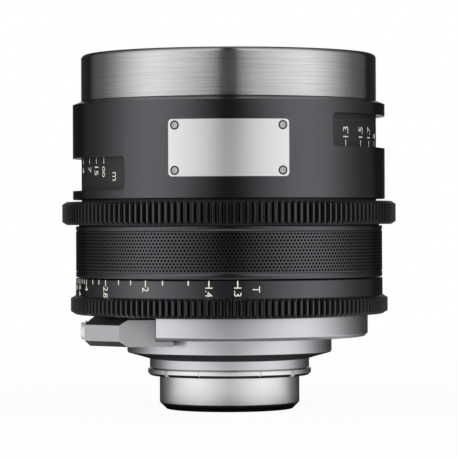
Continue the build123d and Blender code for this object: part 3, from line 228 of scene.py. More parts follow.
@dataclass(frozen=True)
class Finish:
    """A surface finish with fine marks that run one way.

    Attributes:
        name: The finish in a maker's words.
        slot: The record's material slot that it belongs to; not used.
        colour: Its colour.
        metallic: 1 for bare metal, 0 for a dyed or painted layer.
        roughness: Middle roughness.
        spread: How far the roughness moves to each side.
        tone: How far the colour darkens in the marks, as a share.
        grain: The way the marks run.
        pitch: Distance between marks, in millimetres.
        depth: Height of the marks, in millimetres.
        cloud: Size of the slow unevenness over the surface, in millimetres.
        index: Refractive index of the surface layer.
        sheen: Colour of the light that the surface layer mirrors.
        drawn: How far reflections are drawn out across the turning marks.
        streak: Length of a turning mark, in millimetres.
        fan: Turning marks of a radial finish for each radian, as a share of the others.
        fine_share: Share of the fine marks in colour and roughness; the rest is slow unevenness.
        across: Turn of the drawn reflections, as a share of a full turn.
    """

    name: str
    slot: str
    colour: Colour
    metallic: float = 0.0
    roughness: float = 0.4
    spread: float = 0.05
    tone: float = 0.1
    grain: Grain = Grain.BLASTED
    pitch: float = 0.12
    depth: float = 0.001
    cloud: float = 30.0
    index: float = 1.5
    sheen: Colour = WHITE
    drawn: float = 0.0

    streak: ClassVar[float] = 22.0
    fan: ClassVar[float] = 0.04
    fine_share: ClassVar[float] = 0.7
    across: ClassVar[float] = 0.25

    def marks(self, recipe: Recipe) -> Flow:
        """Fine marks between 0 and 1, drawn out along the way of working."""
        fine = 1 / (self.pitch * MM)
        slow = 1 / (self.streak * MM)
        x, y, z = recipe.axes(recipe.place())
        if self.grain is Grain.AROUND:
            radius = (x * x + y * y) ** 0.5
            where = recipe.vector(x * slow, y * slow, (z + radius) * fine)
        elif self.grain is Grain.RADIAL:
            where = recipe.vector(recipe.sum("ARCTAN2", y, x) * (self.fan * fine), 0.0, 0.0)
        else:
            where = recipe.vector(x * fine, y * fine, z * fine)
        return recipe.noise(where, 1.0, 2.0)

    def surface(self, recipe: Recipe) -> Flow:
        """Adds the nodes of the finish and returns its surface."""
        marks = self.marks(recipe)
        cloud = recipe.noise(recipe.place(), 1 / (self.cloud * MM), 2.0)
        worn = marks * self.fine_share + cloud * (1 - self.fine_share)
        dark = tuple(part * (1 - self.tone) for part in self.colour)
        light = tuple(min(part * (1 + self.tone), 1.0) for part in self.colour)
        bump = recipe.node("Bump", inputs={"Strength": 1.0, "Distance": self.depth * MM, "Height": marks})
        return recipe.node(
            "BsdfPrincipled",
            inputs={
                "Base Color": recipe.mixed(worn, dark, light),
                "Metallic": self.metallic,
                "Roughness": recipe.spread(worn, self.roughness - self.spread, self.roughness + self.spread),
                "IOR": self.index,
                "Specular Tint": (*self.sheen, 1.0),
                "Anisotropic": self.drawn,
                "Anisotropic Rotation": self.across,
                "Normal": bump,
            },
        )

    def material(self) -> bpy.types.Material:
        """The finish as a Blender material."""
        return shaded(self.name, self.surface)


@dataclass(frozen=True)
class Glass:
    """Coated optical glass.

    Attributes:
        name: The glass in a maker's words.
        slot: The record's material slot that it belongs to; not used.
        film: Thickness of the coating, in nanometres.
        tint: Colour of the light that passes.
        index: Refractive index of the glass.
        film_index: Refractive index of the coating.
    """

    name: str
    slot: str = "coated_glass"
    film: float = 140.0
    tint: Colour = (0.93, 0.97, 0.96)
    index: float = 1.52
    film_index: float = 1.38

    def surface(self, recipe: Recipe) -> Flow:
        """Adds the nodes of the glass and returns its surface."""
        return recipe.node(
            "BsdfPrincipled",
            inputs={
                "Base Color": (*self.tint, 1.0),
                "Roughness": 0.0,
                "IOR": self.index,
                "Transmission Weight": 1.0,
                "Thin Film Thickness": self.film,
                "Thin Film IOR": self.film_index,
            },
        )

    def material(self) -> bpy.types.Material:
        """The glass as a Blender material."""
        return shaded(self.name, self.surface)


VIOLET_SHEEN: Colour = (0.96, 0.93, 1.0)
BLACK_BARREL = Finish(
    "satin black anodised barrel", "black_anodised", (0.004, 0.004, 0.006), 0.0, 0.22, 0.03, 0.18,
    index=2.08, sheen=VIOLET_SHEEN,
)
BLACK_TEETH = Finish(
    "black anodised gear", "black_anodised", (0.004, 0.004, 0.005), 0.0, 0.24, 0.04, 0.2, index=1.85,
    sheen=VIOLET_SHEEN,
)
BLACK_GRIP = Finish(
    "black anodised grip", "grip_black", (0.004, 0.004, 0.006), 0.0, 0.22, 0.03, 0.15, index=2.05,
    sheen=VIOLET_SHEEN,
)
DIMPLE_BLACK = Finish("black dimples", "grip_black", (0.002, 0.002, 0.002), 0.0, 0.9, 0.05, 0.1, index=1.2)
BLACK_DRUM = Finish(
    "matte black scale drum", "drum_black", (0.014, 0.014, 0.016), 0.0, 0.42, 0.05, 0.2, Grain.AROUND, 0.14,
    0.002, index=1.7,
)
BLACK_INSIDE = Finish(
    "matte black inside", "matte_black", (0.010, 0.010, 0.011), 0.0, 0.6, 0.05, 0.2, Grain.AROUND, 0.2, 0.004
)
BLACK_TAIL = Finish(
    "black tail ring", "matte_black", (0.008, 0.008, 0.010), 0.0, 0.32, 0.04, 0.15, Grain.AROUND, 0.12, 0.002
)
BRUSHED_FRONT = Finish(
    "brushed front ring", "front_aluminium", (0.93, 0.925, 0.955), 1.0, 0.24, 0.02, 0.45, Grain.AROUND,
    0.48, 0.007, drawn=0.98,
)
SATIN_REAR = Finish(
    "satin rear rings", "satin_aluminium", (0.755, 0.75, 0.785), 1.0, 0.32, 0.03, 0.04, Grain.BLASTED, 0.16,
    0.006,
)
# Painted shade: a near-black finish on the rear barrel's downward-facing undercut and on the walls of the
# cover's opening, where shade falls.
UNDERCUT_PAINTED_SHADE = Finish(
    "painted shade on turned undercut", "satin_aluminium", (0.035, 0.035, 0.038), 0.0, 0.60, 0.03, 0.06, Grain.AROUND,
    0.16, 0.003, index=1.3,
)
TURNED_MOUNT = Finish(
    "turned steel mount", "mount_steel", (0.99, 0.985, 1.0), 1.0, 0.30, 0.03, 0.04, Grain.AROUND, 0.22, 0.003
)
SATIN_PLATE = Finish(
    "satin name plate", "plate_aluminium", (0.95, 0.95, 0.965), 0.74, 0.30, 0.02, 0.10, Grain.BLASTED, 0.35,
    0.002, drawn=0.85,
)
GREY_PORT = Finish(
    "grey anodised port", "grey_anodised", (0.47, 0.465, 0.485), 0.5, 0.42, 0.03, 0.05, Grain.BLASTED, 0.16,
    0.003,
)
# Painted shade: a near-black version of the grey port finish on the housing's sloping facets, top and bottom.
FACET_PAINTED_SHADE = Finish(
    "painted shade on port facets", "grey_anodised", (0.045, 0.045, 0.049), 0.5, 0.30, 0.03, 0.08, Grain.BLASTED, 0.16,
    0.003,
)
BRIGHT_SOCKET = Finish(
    "bright connector", "connector_chrome", (0.97, 0.97, 0.98), 0.3, 0.30, 0.03, 0.04, Grain.BLASTED, 0.2
)
INSULATOR = Finish(
    "moulded insulator", "contact_insulator", (0.02, 0.02, 0.022), 0.0, 0.45, 0.04, 0.1, Grain.BLASTED, 0.2,
    0.002,
)
STEEL_SCREW = Finish("steel screw", "screw_steel", (0.62, 0.62, 0.63), 1.0, 0.26)
BLACK_SCREW = Finish("black screw", "black_screws", (0.012, 0.012, 0.014), 0.0, 0.34)
SEAT_BLACK = Finish("blackened screw seat", "plate_aluminium", (0.012, 0.012, 0.014), 0.0, 0.4)
GUIDE_METAL = Finish(
    "turned guide barrel", "barrel_aluminium", (0.50, 0.50, 0.52), 1.0, 0.34, 0.05, 0.08, Grain.AROUND,
    0.16, 0.004,
)
CAM_BRONZE = Finish(
    "bronze anodised cams", "cam_bronze", (0.46, 0.34, 0.17), 1.0, 0.32, 0.05, 0.08, Grain.AROUND, 0.14, 0.003
)
SHIM_STEEL = Finish(
    "shim steel", "shim_steel", (0.42, 0.42, 0.43), 1.0, 0.34, 0.05, 0.08, Grain.AROUND, 0.14, 0.002
)
BOARD_GREEN = Finish(
    "green circuit board", "board_green", (0.006, 0.035, 0.02), 0.0, 0.35, 0.06, 0.25, Grain.BLASTED, 0.4, 0.004
)
BLADE_STEEL = Finish(
    "burnished blades", "blade_steel", (0.045, 0.047, 0.052), 0.6, 0.34, 0.05, 0.15, Grain.RADIAL, 0.2, 0.002
)
SCALE_PAINT = Finish(
    "pale scale paint", "black_anodised", (0.94, 0.97, 0.80), 0.0, 0.5, 0.03, 0.05, Grain.BLASTED, 0.2
)
DISTANCE_PAINT = Finish(
    "pale distance paint", "drum_black", (0.88, 0.90, 0.76), 0.0, 0.5, 0.03, 0.05, Grain.BLASTED, 0.2
)
INDEX_PAINT = Finish(
    "white index paint", "black_anodised", (0.80, 0.80, 0.78), 0.0, 0.5, 0.03, 0.05, Grain.BLASTED, 0.2
)
CLEAR_GLASS = Glass("coated glass")
DEEP_GLASS = Glass("inner coated glass", film=110.0)


def spun(profile: Sequence[Point], steps: int, closed: bool = True) -> Shape:
    """Spins a profile round the optical axis.

    Args:
        profile: Pairs of radius and height, in millimetres.
        steps: Number of facets round the axis.
        closed: Whether the last point joins the first one.

    Returns:
        A new bmesh with the turned shape, its normals outwards.
    """
    shape = bmesh.new()
    corners = [shape.verts.new((radius * MM, 0.0, height * MM)) for radius, height in profile]
    pairs = list(zip(corners, corners[1:])) + ([(corners[-1], corners[0])] if closed else [])
    edges = [shape.edges.new(pair) for pair in pairs]
    bmesh.ops.spin(
        shape, geom=corners + edges, cent=(0, 0, 0), axis=(0, 0, 1), dvec=(0, 0, 0),
        angle=TURN, steps=steps, use_merge=True, use_duplicate=False,
    )
    bmesh.ops.remove_doubles(shape, verts=shape.verts, dist=1e-7)
    bmesh.ops.recalc_face_normals(shape, faces=shape.faces)
    return shape


def softened(shape: Shape, width: float, segments: int = 2, angle: float = 24.0) -> Shape:
    """Breaks the sharp edges of a shape.

    Args:
        shape: The shape to change.
        width: Width of the broken edge, in millimetres.
        segments: Facets over the edge.
        angle: Edges between faces that turn by more than this, in degrees, are broken.

    Returns:
        The same shape.
    """
    sharp = [
        edge for edge in shape.edges
        if len(edge.link_faces) == 2 and edge.calc_face_angle(0.0) > math.radians(angle)
    ]
    bmesh.ops.bevel(
        shape, geom=sharp, offset=width * MM, offset_type="OFFSET", segments=segments, profile=0.5,
        affect="EDGES", clamp_overlap=True, material=-1,
    )
    return shape


def copied(node: str) -> Shape:
    """A merged copy of a CAD node's mesh, with its flat faces whole.

    Args:
        node: The CAD node.

    Returns:
        A new bmesh.
    """
    shape = bmesh.new()
    shape.from_mesh(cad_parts[node].data)
    bmesh.ops.remove_doubles(shape, verts=shape.verts, dist=1e-6)
    bmesh.ops.dissolve_limit(
        shape, angle_limit=math.radians(0.3), use_dissolve_boundaries=False, verts=shape.verts,
        edges=shape.edges,
    )
    for edge in shape.edges:
        edge.smooth = True
    return shape


def joined(shapes: Iterable[Shape]) -> Shape:
    """Puts several shapes into one and frees them."""
    whole = bmesh.new()
    for shape in shapes:
        holder = bpy.data.meshes.new("holder")
        shape.to_mesh(holder)
        shape.free()
        whole.from_mesh(holder)
        bpy.data.meshes.remove(holder)
    return whole


def wrapped(shape: Shape, radius: float, bearing: float, height: float) -> Shape:
    """Bends a flat shape round the optical axis.

    Args:
        shape: A flat shape in millimetres: X runs along the circumference, Y up, Z outwards.
        radius: Radius of the surface it lies on, in millimetres.
        bearing: Where its X = 0 comes to lie, in degrees from the plate's side towards +X.
        height: Where its Y = 0 comes to lie, in millimetres.

    Returns:
        The same shape, in metres.
    """
    for vertex in shape.verts:
        turn = math.radians(bearing - 90) + vertex.co.x / radius
        out = (radius + vertex.co.z) * MM
        vertex.co = Vector((out * math.cos(turn), out * math.sin(turn), (height + vertex.co.y) * MM))
    return shape


def bar(width: float, length: float, thickness: float) -> Shape:
    """A flat bar in millimetres whose top edge is at Y = 0, sunk by half of its thickness."""
    shape = bmesh.new()
    bmesh.ops.create_cube(shape, size=1.0)
    bmesh.ops.scale(shape, vec=(width, length, thickness), verts=shape.verts)
    bmesh.ops.translate(shape, vec=(0.0, -length / 2, 0.0), verts=shape.verts)
    return shape


def lettering(text: str, height: float, thickness: float) -> Shape:
    """Figures as a flat shape in millimetres, written along +X with their feet at Y = 0.

    Args:
        text: The figures.
        height: Height of a capital, in millimetres.
        thickness: Thickness, sunk by half.

    Returns:
        A new bmesh, centred along X on nothing: the text starts at X = 0.
    """
    capital_share = 0.682
    curve = bpy.data.curves.new("figures", "FONT")
    curve.body = text
    curve.size = height / capital_share
    curve.extrude = thickness / 2
    curve.resolution_u = 3
    curve.space_character = 0.88
    holder = bpy.data.objects.new("figures", curve)
    mesh = bpy.data.meshes.new_from_object(holder)
    shape = bmesh.new()
    shape.from_mesh(mesh)
    bpy.data.objects.remove(holder)
    bpy.data.curves.remove(curve)
    bpy.data.meshes.remove(mesh)
    bmesh.ops.remove_doubles(shape, verts=shape.verts, dist=1e-5)
    bmesh.ops.recalc_face_normals(shape, faces=shape.faces)
    return shape


def piece(
    name: str,
    shape: Shape,
    finish: Finish | Glass,
    replaces: Sequence[str] = (),
    more: Sequence[Finish] = (),
    body: str = "lens_body",
    even: bool = True,
) -> bpy.types.Object:
    """Turns a shape into a piece of the scene that rides a body.

    Args:
        name: The piece's name.
        shape: Its shape, which is freed.
        finish: Its finish.
        replaces: CAD nodes that it stands for.
        more: Further finishes for faces with a material index.
        body: The body it moves with.
        even: Whether big faces keep their own direction beside broken edges.

    Returns:
        The object.
    """
    mesh = bpy.data.meshes.new(name)
    for face in shape.faces:
        face.smooth = True
    shape.to_mesh(mesh)
    shape.free()
    if "custom_normal" in mesh.attributes:
        mesh.attributes.remove(mesh.attributes["custom_normal"])
    for entry in (finish, *more):
        mesh.materials.append(entry.material())
    thing = bpy.data.objects.new(name, mesh)
    bpy.context.scene.collection.objects.link(thing)
    if even:
        keep = thing.modifiers.new("even faces", "WEIGHTED_NORMAL")
        keep.mode = "FACE_AREA"
        keep.weight = 60
        keep.keep_sharp = True
    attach(thing, body)
    if replaces:
        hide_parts(*replaces)
    log.info("%s: %d faces on %s", name, len(mesh.polygons), body)
    return thing


def eased(
    name: str, node: str, finish: Finish, width: float, segments: int = 2, angle: float = 24.0,
    body: str = "lens_body",
) -> None:
    """Puts a copy with broken edges in the place of a CAD node.

    Args:
        name: The piece's name.
        node: The CAD node.
        finish: Its finish.
        width: Width of the broken edges, in millimetres.
        segments: Facets over an edge.
        angle: Edges between faces that turn by more than this, in degrees, are broken.
        body: The body it moves with.
    """
    piece(name, softened(copied(node), width, segments, angle), finish, (node,), body=body)


def dress(finish: Finish | Glass, *nodes: str) -> None:
    """Gives CAD nodes a finish and leaves their shape as it is.

    Args:
        finish: The finish.
        nodes: The CAD nodes.
    """
    for node in nodes:
        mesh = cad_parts[node].data
        for index in range(len(mesh.materials)):
            mesh.materials[index] = finish.material()
        log.info("%s: %s", node, finish.name)


@dataclass
class FrontRing:
    """Bright clamping ring with the accessory thread in its mouth."""

    radius: float = 57.0
    bore: float = 50.0
    seat: float = 51.2
    low: float = 105.3
    ledge: float = 116.05
    floor: float = 117.35
    high: float = 123.35
    rounding: float = 1.7
    thread: float = 52.5
    thread_pitch: float = 1.0
    thread_depth: float = 0.55
    mouth: float = 0.8

    def profile(self) -> list[Point]:
        """Section of the ring with its rounded lip and thread grooves."""
        points = [(self.bore, self.low), (self.radius - 0.25, self.low), (self.radius, self.low + 0.25)]
        for step in range(9):
            turn = math.radians(90 * step / 8)
            points.append((
                self.radius - self.rounding * (1 - math.cos(turn)),
                self.high - self.rounding * (1 - math.sin(turn)),
            ))
        points += [(self.thread + self.mouth, self.high), (self.thread, self.high - self.mouth)]
        turns = int((self.high - self.mouth - self.floor) / self.thread_pitch)
        for turn_number in range(turns):
            top = self.high - self.mouth - self.thread_pitch * turn_number
            points += [
                (self.thread, top - 0.15 * self.thread_pitch),
                (self.thread + self.thread_depth, top - 0.5 * self.thread_pitch),
                (self.thread, top - 0.85 * self.thread_pitch),
            ]
        points += [(self.thread, self.floor), (self.seat, self.floor)]
        return points + [(self.seat, self.ledge), (self.bore, self.ledge)]

    def build(self) -> None:
        """Makes the ring and dresses its neighbours in the mouth."""
        ring = softened(spun(self.profile(), 288), 0.12, 2, 50.0)
        piece("clamping_ring", ring, BRUSHED_FRONT, ("front_ring",))
        dress(BLACK_INSIDE, "front_baffle", "front_cell", "front_retainer")


@dataclass
class BarrelShell:
    """Black shell with its two windows, the plate and its screws."""

    break_width: float = 0.22
    index_length: float = 2.4
    index_width: float = 0.45
    radius: float = 60.25
    index_thickness: float = 0.05
    index_bearing: float = 90.0
    left_window_top: float = 83.45
    right_window_foot: float = 87.0
    gap: float = 0.5
    plate_radius: float = 60.45
    screw_bearing: float = 19.15
    screw_heights: tuple[float, float] = (77.9, 94.5)
    seat_radii: Point = (1.15, 1.72)
    ring_rise: float = 0.04
    ring_foot: float = -0.1

    def index_lines(self) -> Shape:
        """Index line over the left window and under the right one."""
        return joined([
            wrapped(bar(self.index_width, self.index_length, self.index_thickness), self.radius, bearing, top)
            for bearing, top in (
                (-self.index_bearing, self.left_window_top + self.gap + self.index_length),
                (self.index_bearing, self.right_window_foot - self.gap),
            )
        ])

    def screw_rings(self) -> Shape:
        """Blackened seat rings round the plate's screws."""
        inner, outer = self.seat_radii
        rings = []
        for bearing in (-self.screw_bearing, self.screw_bearing):
            out = Matrix.Rotation(math.radians(bearing), 3, "Z") @ Vector((0.0, -1.0, 0.0))
            for height in self.screw_heights:
                foot = self.ring_foot
                ring = spun(((inner, foot), (outer, foot), (outer, 0.0), (inner, self.ring_rise)), 40)
                matrix = out.to_track_quat("Z", "Y").to_matrix()
                bmesh.ops.rotate(ring, cent=(0, 0, 0), matrix=matrix, verts=ring.verts)
                centre = (out * self.plate_radius + Vector((0.0, 0.0, height))) * MM
                bmesh.ops.translate(ring, vec=centre, verts=ring.verts)
                rings.append(ring)
        return joined(rings)

    def build(self) -> None:
        """Makes shell, index lines, plate and screws."""
        eased("shell_body", "barrel_shell", BLACK_BARREL, self.break_width)
        piece("index_lines", self.index_lines(), INDEX_PAINT, even=False)
        eased("plate_body", "name_plate", SATIN_PLATE, 0.12, 2, 30.0)
        piece("screw_rings", self.screw_rings(), SEAT_BLACK, even=False)
        dress(STEEL_SCREW, "plate_screws", "shell_screws", "front_ring_screws")


@dataclass(frozen=True)
class Mark:
    """One mark of a scale: where it stands, what is written at it and how long its line is."""

    bearing: float
    text: str = ""
    length: float = 2.3
    lift: float = 0.0


@dataclass
class Scale:
    """A row of lines and figures round a cylinder.

    Attributes:
        name: Name of the piece.
        body: The body it moves with.
        finish: Paint of the marks.
        radius: Radius of the surface, in millimetres.
        height: Height of the lines' outer ends, in millimetres.
        down: Whether lines and figures run down from there, and not up.
        marks: The marks.
        figure: Height of a figure, in millimetres.
        stretch: Width of the figures, as a share of the font's own.
        gap: Space between a line and its figures.
        line_width: Width of a line.
        thickness: Thickness of the paint, sunk by half.
    """

    name: str
    body: str
    finish: Finish
    radius: float
    height: float
    down: bool
    marks: Sequence[Mark]
    figure: float = 2.7
    stretch: float = 1.02
    gap: float = 0.05
    line_width: float = 0.46
    thickness: float = 0.06

    def figures(self, mark: Mark) -> Shape:
        """Figures of one mark, turned to read along the optical axis."""
        shape = lettering(mark.text, self.figure, self.thickness)
        start = min(vertex.co.x for vertex in shape.verts)
        bmesh.ops.translate(shape, vec=(-start, -self.figure / 2, 0.0), verts=shape.verts)
        bmesh.ops.scale(shape, vec=(self.stretch, 1.0, 1.0), verts=shape.verts)
        quarter = -TURN / 4 if self.down else TURN / 4
        bmesh.ops.rotate(shape, cent=(0, 0, 0), matrix=Matrix.Rotation(quarter, 3, "Z"), verts=shape.verts)
        start = mark.length + self.gap + mark.lift
        reach = -start if self.down else start
        return wrapped(shape, self.radius, mark.bearing, self.height + reach)

    def line(self, mark: Mark) -> Shape:
        """Line of one mark."""
        shape = bar(self.line_width, mark.length, self.thickness)
        top = self.height if self.down else self.height + mark.length
        return wrapped(shape, self.radius, mark.bearing, top)

    def build(self) -> None:
        """Makes the whole row as one piece."""
        shapes = [self.line(mark) for mark in self.marks if mark.length]
        shapes += [self.figures(mark) for mark in self.marks if mark.text]
        piece(self.name, joined(shapes), self.finish, body=self.body, even=False)


@dataclass
class FocusRing:
    """Grip, gear, drum and distance scales of the focus ring."""

    grip_radius: float = 59.15
    grip_inner: float = 57.0
    grip_low: float = 37.95
    grip_high: float = 57.45
    line_offset: float = 1.6
    foot_offset: float = 2.0
    line_width: float = 0.35
    line_gap: float = 0.15
    line_depth: float = 0.3
    dimple_columns: int = 265
    dimple_rows: int = 12
    row_pitch: float = 1.23
    dimple_radius: float = 0.46
    dimple_floor: float = 0.40
    dimple_depth: float = 0.35
    edge: float = 0.18
    drum_radius: float = 56.9
    left_row_top: float = 83.3
    right_row_foot: float = 87.15
    infinity_bearing: float = -55.5
    second_row: float = 179.15
    turn_per_dioptre: float = 86.0
    near_offset: float = 0.13
    distances: tuple[float, ...] = (15, 7, 4, 3, 2.5, 2, 1.7, 1.5, 1.3, 1.1, 1, 0.9, 0.8, 0.7, 0.6)
    figure: float = 3.1
    figure_stretch: float = 1.08
    figure_gap: float = 1.0
    unit_offset: float = 7.3
    unit_lift: float = 4.6

    def band(self) -> tuple[float, float]:
        """Lower and upper end of the dimpled band."""
        low = self.grip_low + self.foot_offset + self.line_width + self.line_gap
        return low, low + self.dimple_rows * self.row_pitch

    def spaced(self, place: float, size: float) -> float:
        """Moves a corner of the dimple out to the cell's edge, or to its middle line."""
        middle = abs(place) < self.dimple_radius / 5
        return 0.0 if middle else math.copysign(size / 2, place)

    def cell(self, width: float) -> Shape:
        """One flat cell with its round dimple, in millimetres."""
        shape = bmesh.new()
        bmesh.ops.create_circle(shape, segments=8, radius=self.dimple_radius, cap_ends=False)
        edges = list(shape.edges)
        for edge in edges:
            edge.smooth = False
        outer = bmesh.ops.extrude_edge_only(shape, edges=edges)["geom"]
        for vertex in (item for item in outer if isinstance(item, bmesh.types.BMVert)):
            vertex.co.x = self.spaced(vertex.co.x, width)
            vertex.co.y = self.spaced(vertex.co.y, self.row_pitch)
        inner = bmesh.ops.extrude_edge_only(shape, edges=edges)["geom"]
        floor = [item for item in inner if isinstance(item, bmesh.types.BMVert)]
        share = self.dimple_floor / self.dimple_radius
        bmesh.ops.scale(shape, vec=(share, share, 1.0), verts=floor)
        bmesh.ops.translate(shape, vec=(0.0, 0.0, -self.dimple_depth), verts=floor)
        edges = (item for item in inner if isinstance(item, bmesh.types.BMEdge))
        floor_edges = [edge for edge in edges if all(vertex in floor for vertex in edge.verts)]
        bmesh.ops.contextual_create(shape, geom=floor_edges)
        for face in shape.faces:
            if min(vertex.co.z for vertex in face.verts) < -self.dimple_depth / 2:
                face.material_index = 1
        return shape

    def dimpled_band(self) -> Shape:
        """The band of staggered dimples, as a skin round the axis."""
        width = TURN * self.grip_radius / self.dimple_columns
        low, _ = self.band()
        rows = []
        for row in range(self.dimple_rows):
            shape = self.cell(width)
            bearing = 90 + (360 / self.dimple_columns / 2 if row % 2 else 0.0)
            rows.append(wrapped(shape, self.grip_radius, bearing, low + self.row_pitch * (row + 0.5)))
        column = joined(rows)
        steps = self.dimple_columns - 1
        bmesh.ops.spin(
            column, geom=column.verts[:] + column.edges[:] + column.faces[:], cent=(0, 0, 0), axis=(0, 0, 1),
            dvec=(0, 0, 0), angle=TURN * steps / self.dimple_columns, steps=steps, use_merge=False,
            use_duplicate=True,
        )
        return column

    def plain_ends(self) -> Shape:
        """The rest of the grip: its scribed lines, ends and bore."""
        low, high = self.band()
        deep = self.grip_radius - self.line_depth
        top_line = self.grip_high - self.line_offset
        foot_line = self.grip_low + self.foot_offset
        profile = [
            (self.grip_radius, high), (self.grip_radius, top_line - self.line_width),
            (deep, top_line - self.line_width), (deep, top_line), (self.grip_radius, top_line),
            (self.grip_radius, self.grip_high - self.edge), (self.grip_radius - self.edge, self.grip_high),
            (self.grip_inner, self.grip_high), (self.grip_inner, self.grip_low),
            (self.grip_radius - self.edge, self.grip_low), (self.grip_radius, self.grip_low + self.edge),
            (self.grip_radius, foot_line), (deep, foot_line), (deep, foot_line + self.line_width),
            (self.grip_radius, foot_line + self.line_width), (self.grip_radius, low),
        ]
        return spun(profile, 2 * self.dimple_columns, closed=False)

    def grip(self) -> Shape:
        """The whole grip sleeve, closed."""
        shape = joined((self.dimpled_band(), self.plain_ends()))
        bmesh.ops.remove_doubles(shape, verts=shape.verts, dist=2e-6)
        bmesh.ops.recalc_face_normals(shape, faces=shape.faces)
        return shape

    def distance_marks(self, first: float) -> list[Mark]:
        """Marks of one distance scale.

        Args:
            first: Bearing of the infinity mark.

        Returns:
            The marks, from infinity to the nearest.
        """
        marks = [Mark(first, "∞")]
        for distance in self.distances:
            turn = self.turn_per_dioptre / (distance - self.near_offset)
            marks.append(Mark(first - turn, f"{distance:g}"))
        return marks

    def build(self) -> None:
        """Makes grip, gear, drum scales and the parts inside."""
        piece("grip_sleeve", self.grip(), BLACK_GRIP, ("focus_grip",), (DIMPLE_BLACK,), "focus_ring")
        eased("focus_teeth", "focus_gear", BLACK_TEETH, 0.07, 1, 28.0, "focus_ring")
        unit = Mark(self.infinity_bearing + self.unit_offset, "m", 0.0, self.unit_lift)
        for side, height, down, marks in (
            ("left", self.left_row_top, True, [*self.distance_marks(self.infinity_bearing), unit]),
            ("right", self.right_row_foot, False, self.distance_marks(self.infinity_bearing + self.second_row)),
        ):
            Scale(
                f"distances_{side}", "focus_ring", DISTANCE_PAINT, self.drum_radius, height, down, marks,
                self.figure, self.figure_stretch, self.figure_gap,
            ).build()
        dress(BLACK_DRUM, "focus_scale_drum")
        dress(GUIDE_METAL, "focus_carrier", "focus_cell")
        dress(CAM_BRONZE, "cam_sleeve")
        dress(STEEL_SCREW, "carrier_screws", "focus_stop_pin", "cam_rollers")
        dress(BLACK_INSIDE, "focus_retainer")
        dress(DEEP_GLASS, "focus_front_element", "focus_rear_element")


@dataclass
class ApertureRing:
    """Aperture ring with its gear and scale."""

    radius: float = 59.25
    top: float = 37.4
    numbered: tuple[tuple[float, str], ...] = (
        (3.0, "1.3"), (-7.2, "1.4"), (-31.4, "2"), (-51.2, "2.8"), (-65.6, "4"), (-73.6, "5.6"),
        (-79.8, "8"), (-84.4, "11"), (-88.0, "16"), (-90.6, "22"),
    )
    between: tuple[float, ...] = (-14.65, -24.4, -38.0, -43.9, -55.5, -60.0, -67.9, -70.4, -76.6)
    long_line: float = 2.35
    short_line: float = 1.75
    letter_bearing: float = 9.6
    letter_lift: float = 2.0
    blades: int = 9

    def marks(self, shift: float) -> list[Mark]:
        """Marks of the scale, turned by a shift in degrees."""
        marks = [Mark(bearing + shift, text, self.long_line) for bearing, text in self.numbered]
        marks += [Mark(bearing + shift, "", self.short_line) for bearing in self.between]
        marks.append(Mark(self.letter_bearing + shift, "T", 0.0, self.letter_lift))
        return marks

    def build(self) -> None:
        """Makes ring, gear and the scale on both sides."""
        eased("aperture_ring", "iris_scale_ring", BLACK_BARREL, 0.15, body="iris_ring")
        eased("aperture_teeth", "iris_gear", BLACK_TEETH, 0.07, 1, 28.0, "iris_ring")
        for side, shift in (("left", 0.0), ("right", 180.0)):
            marks = self.marks(shift)
            Scale(f"apertures_{side}", "iris_ring", SCALE_PAINT, self.radius, self.top, True, marks).build()
        dress(CAM_BRONZE, "iris_cam_plate")
        dress(STEEL_SCREW, "iris_driver")
        dress(BLACK_INSIDE, "iris_base", "iris_lid")
        dress(BLADE_STEEL, *[f"iris_blade_{number + 1}" for number in range(self.blades)])


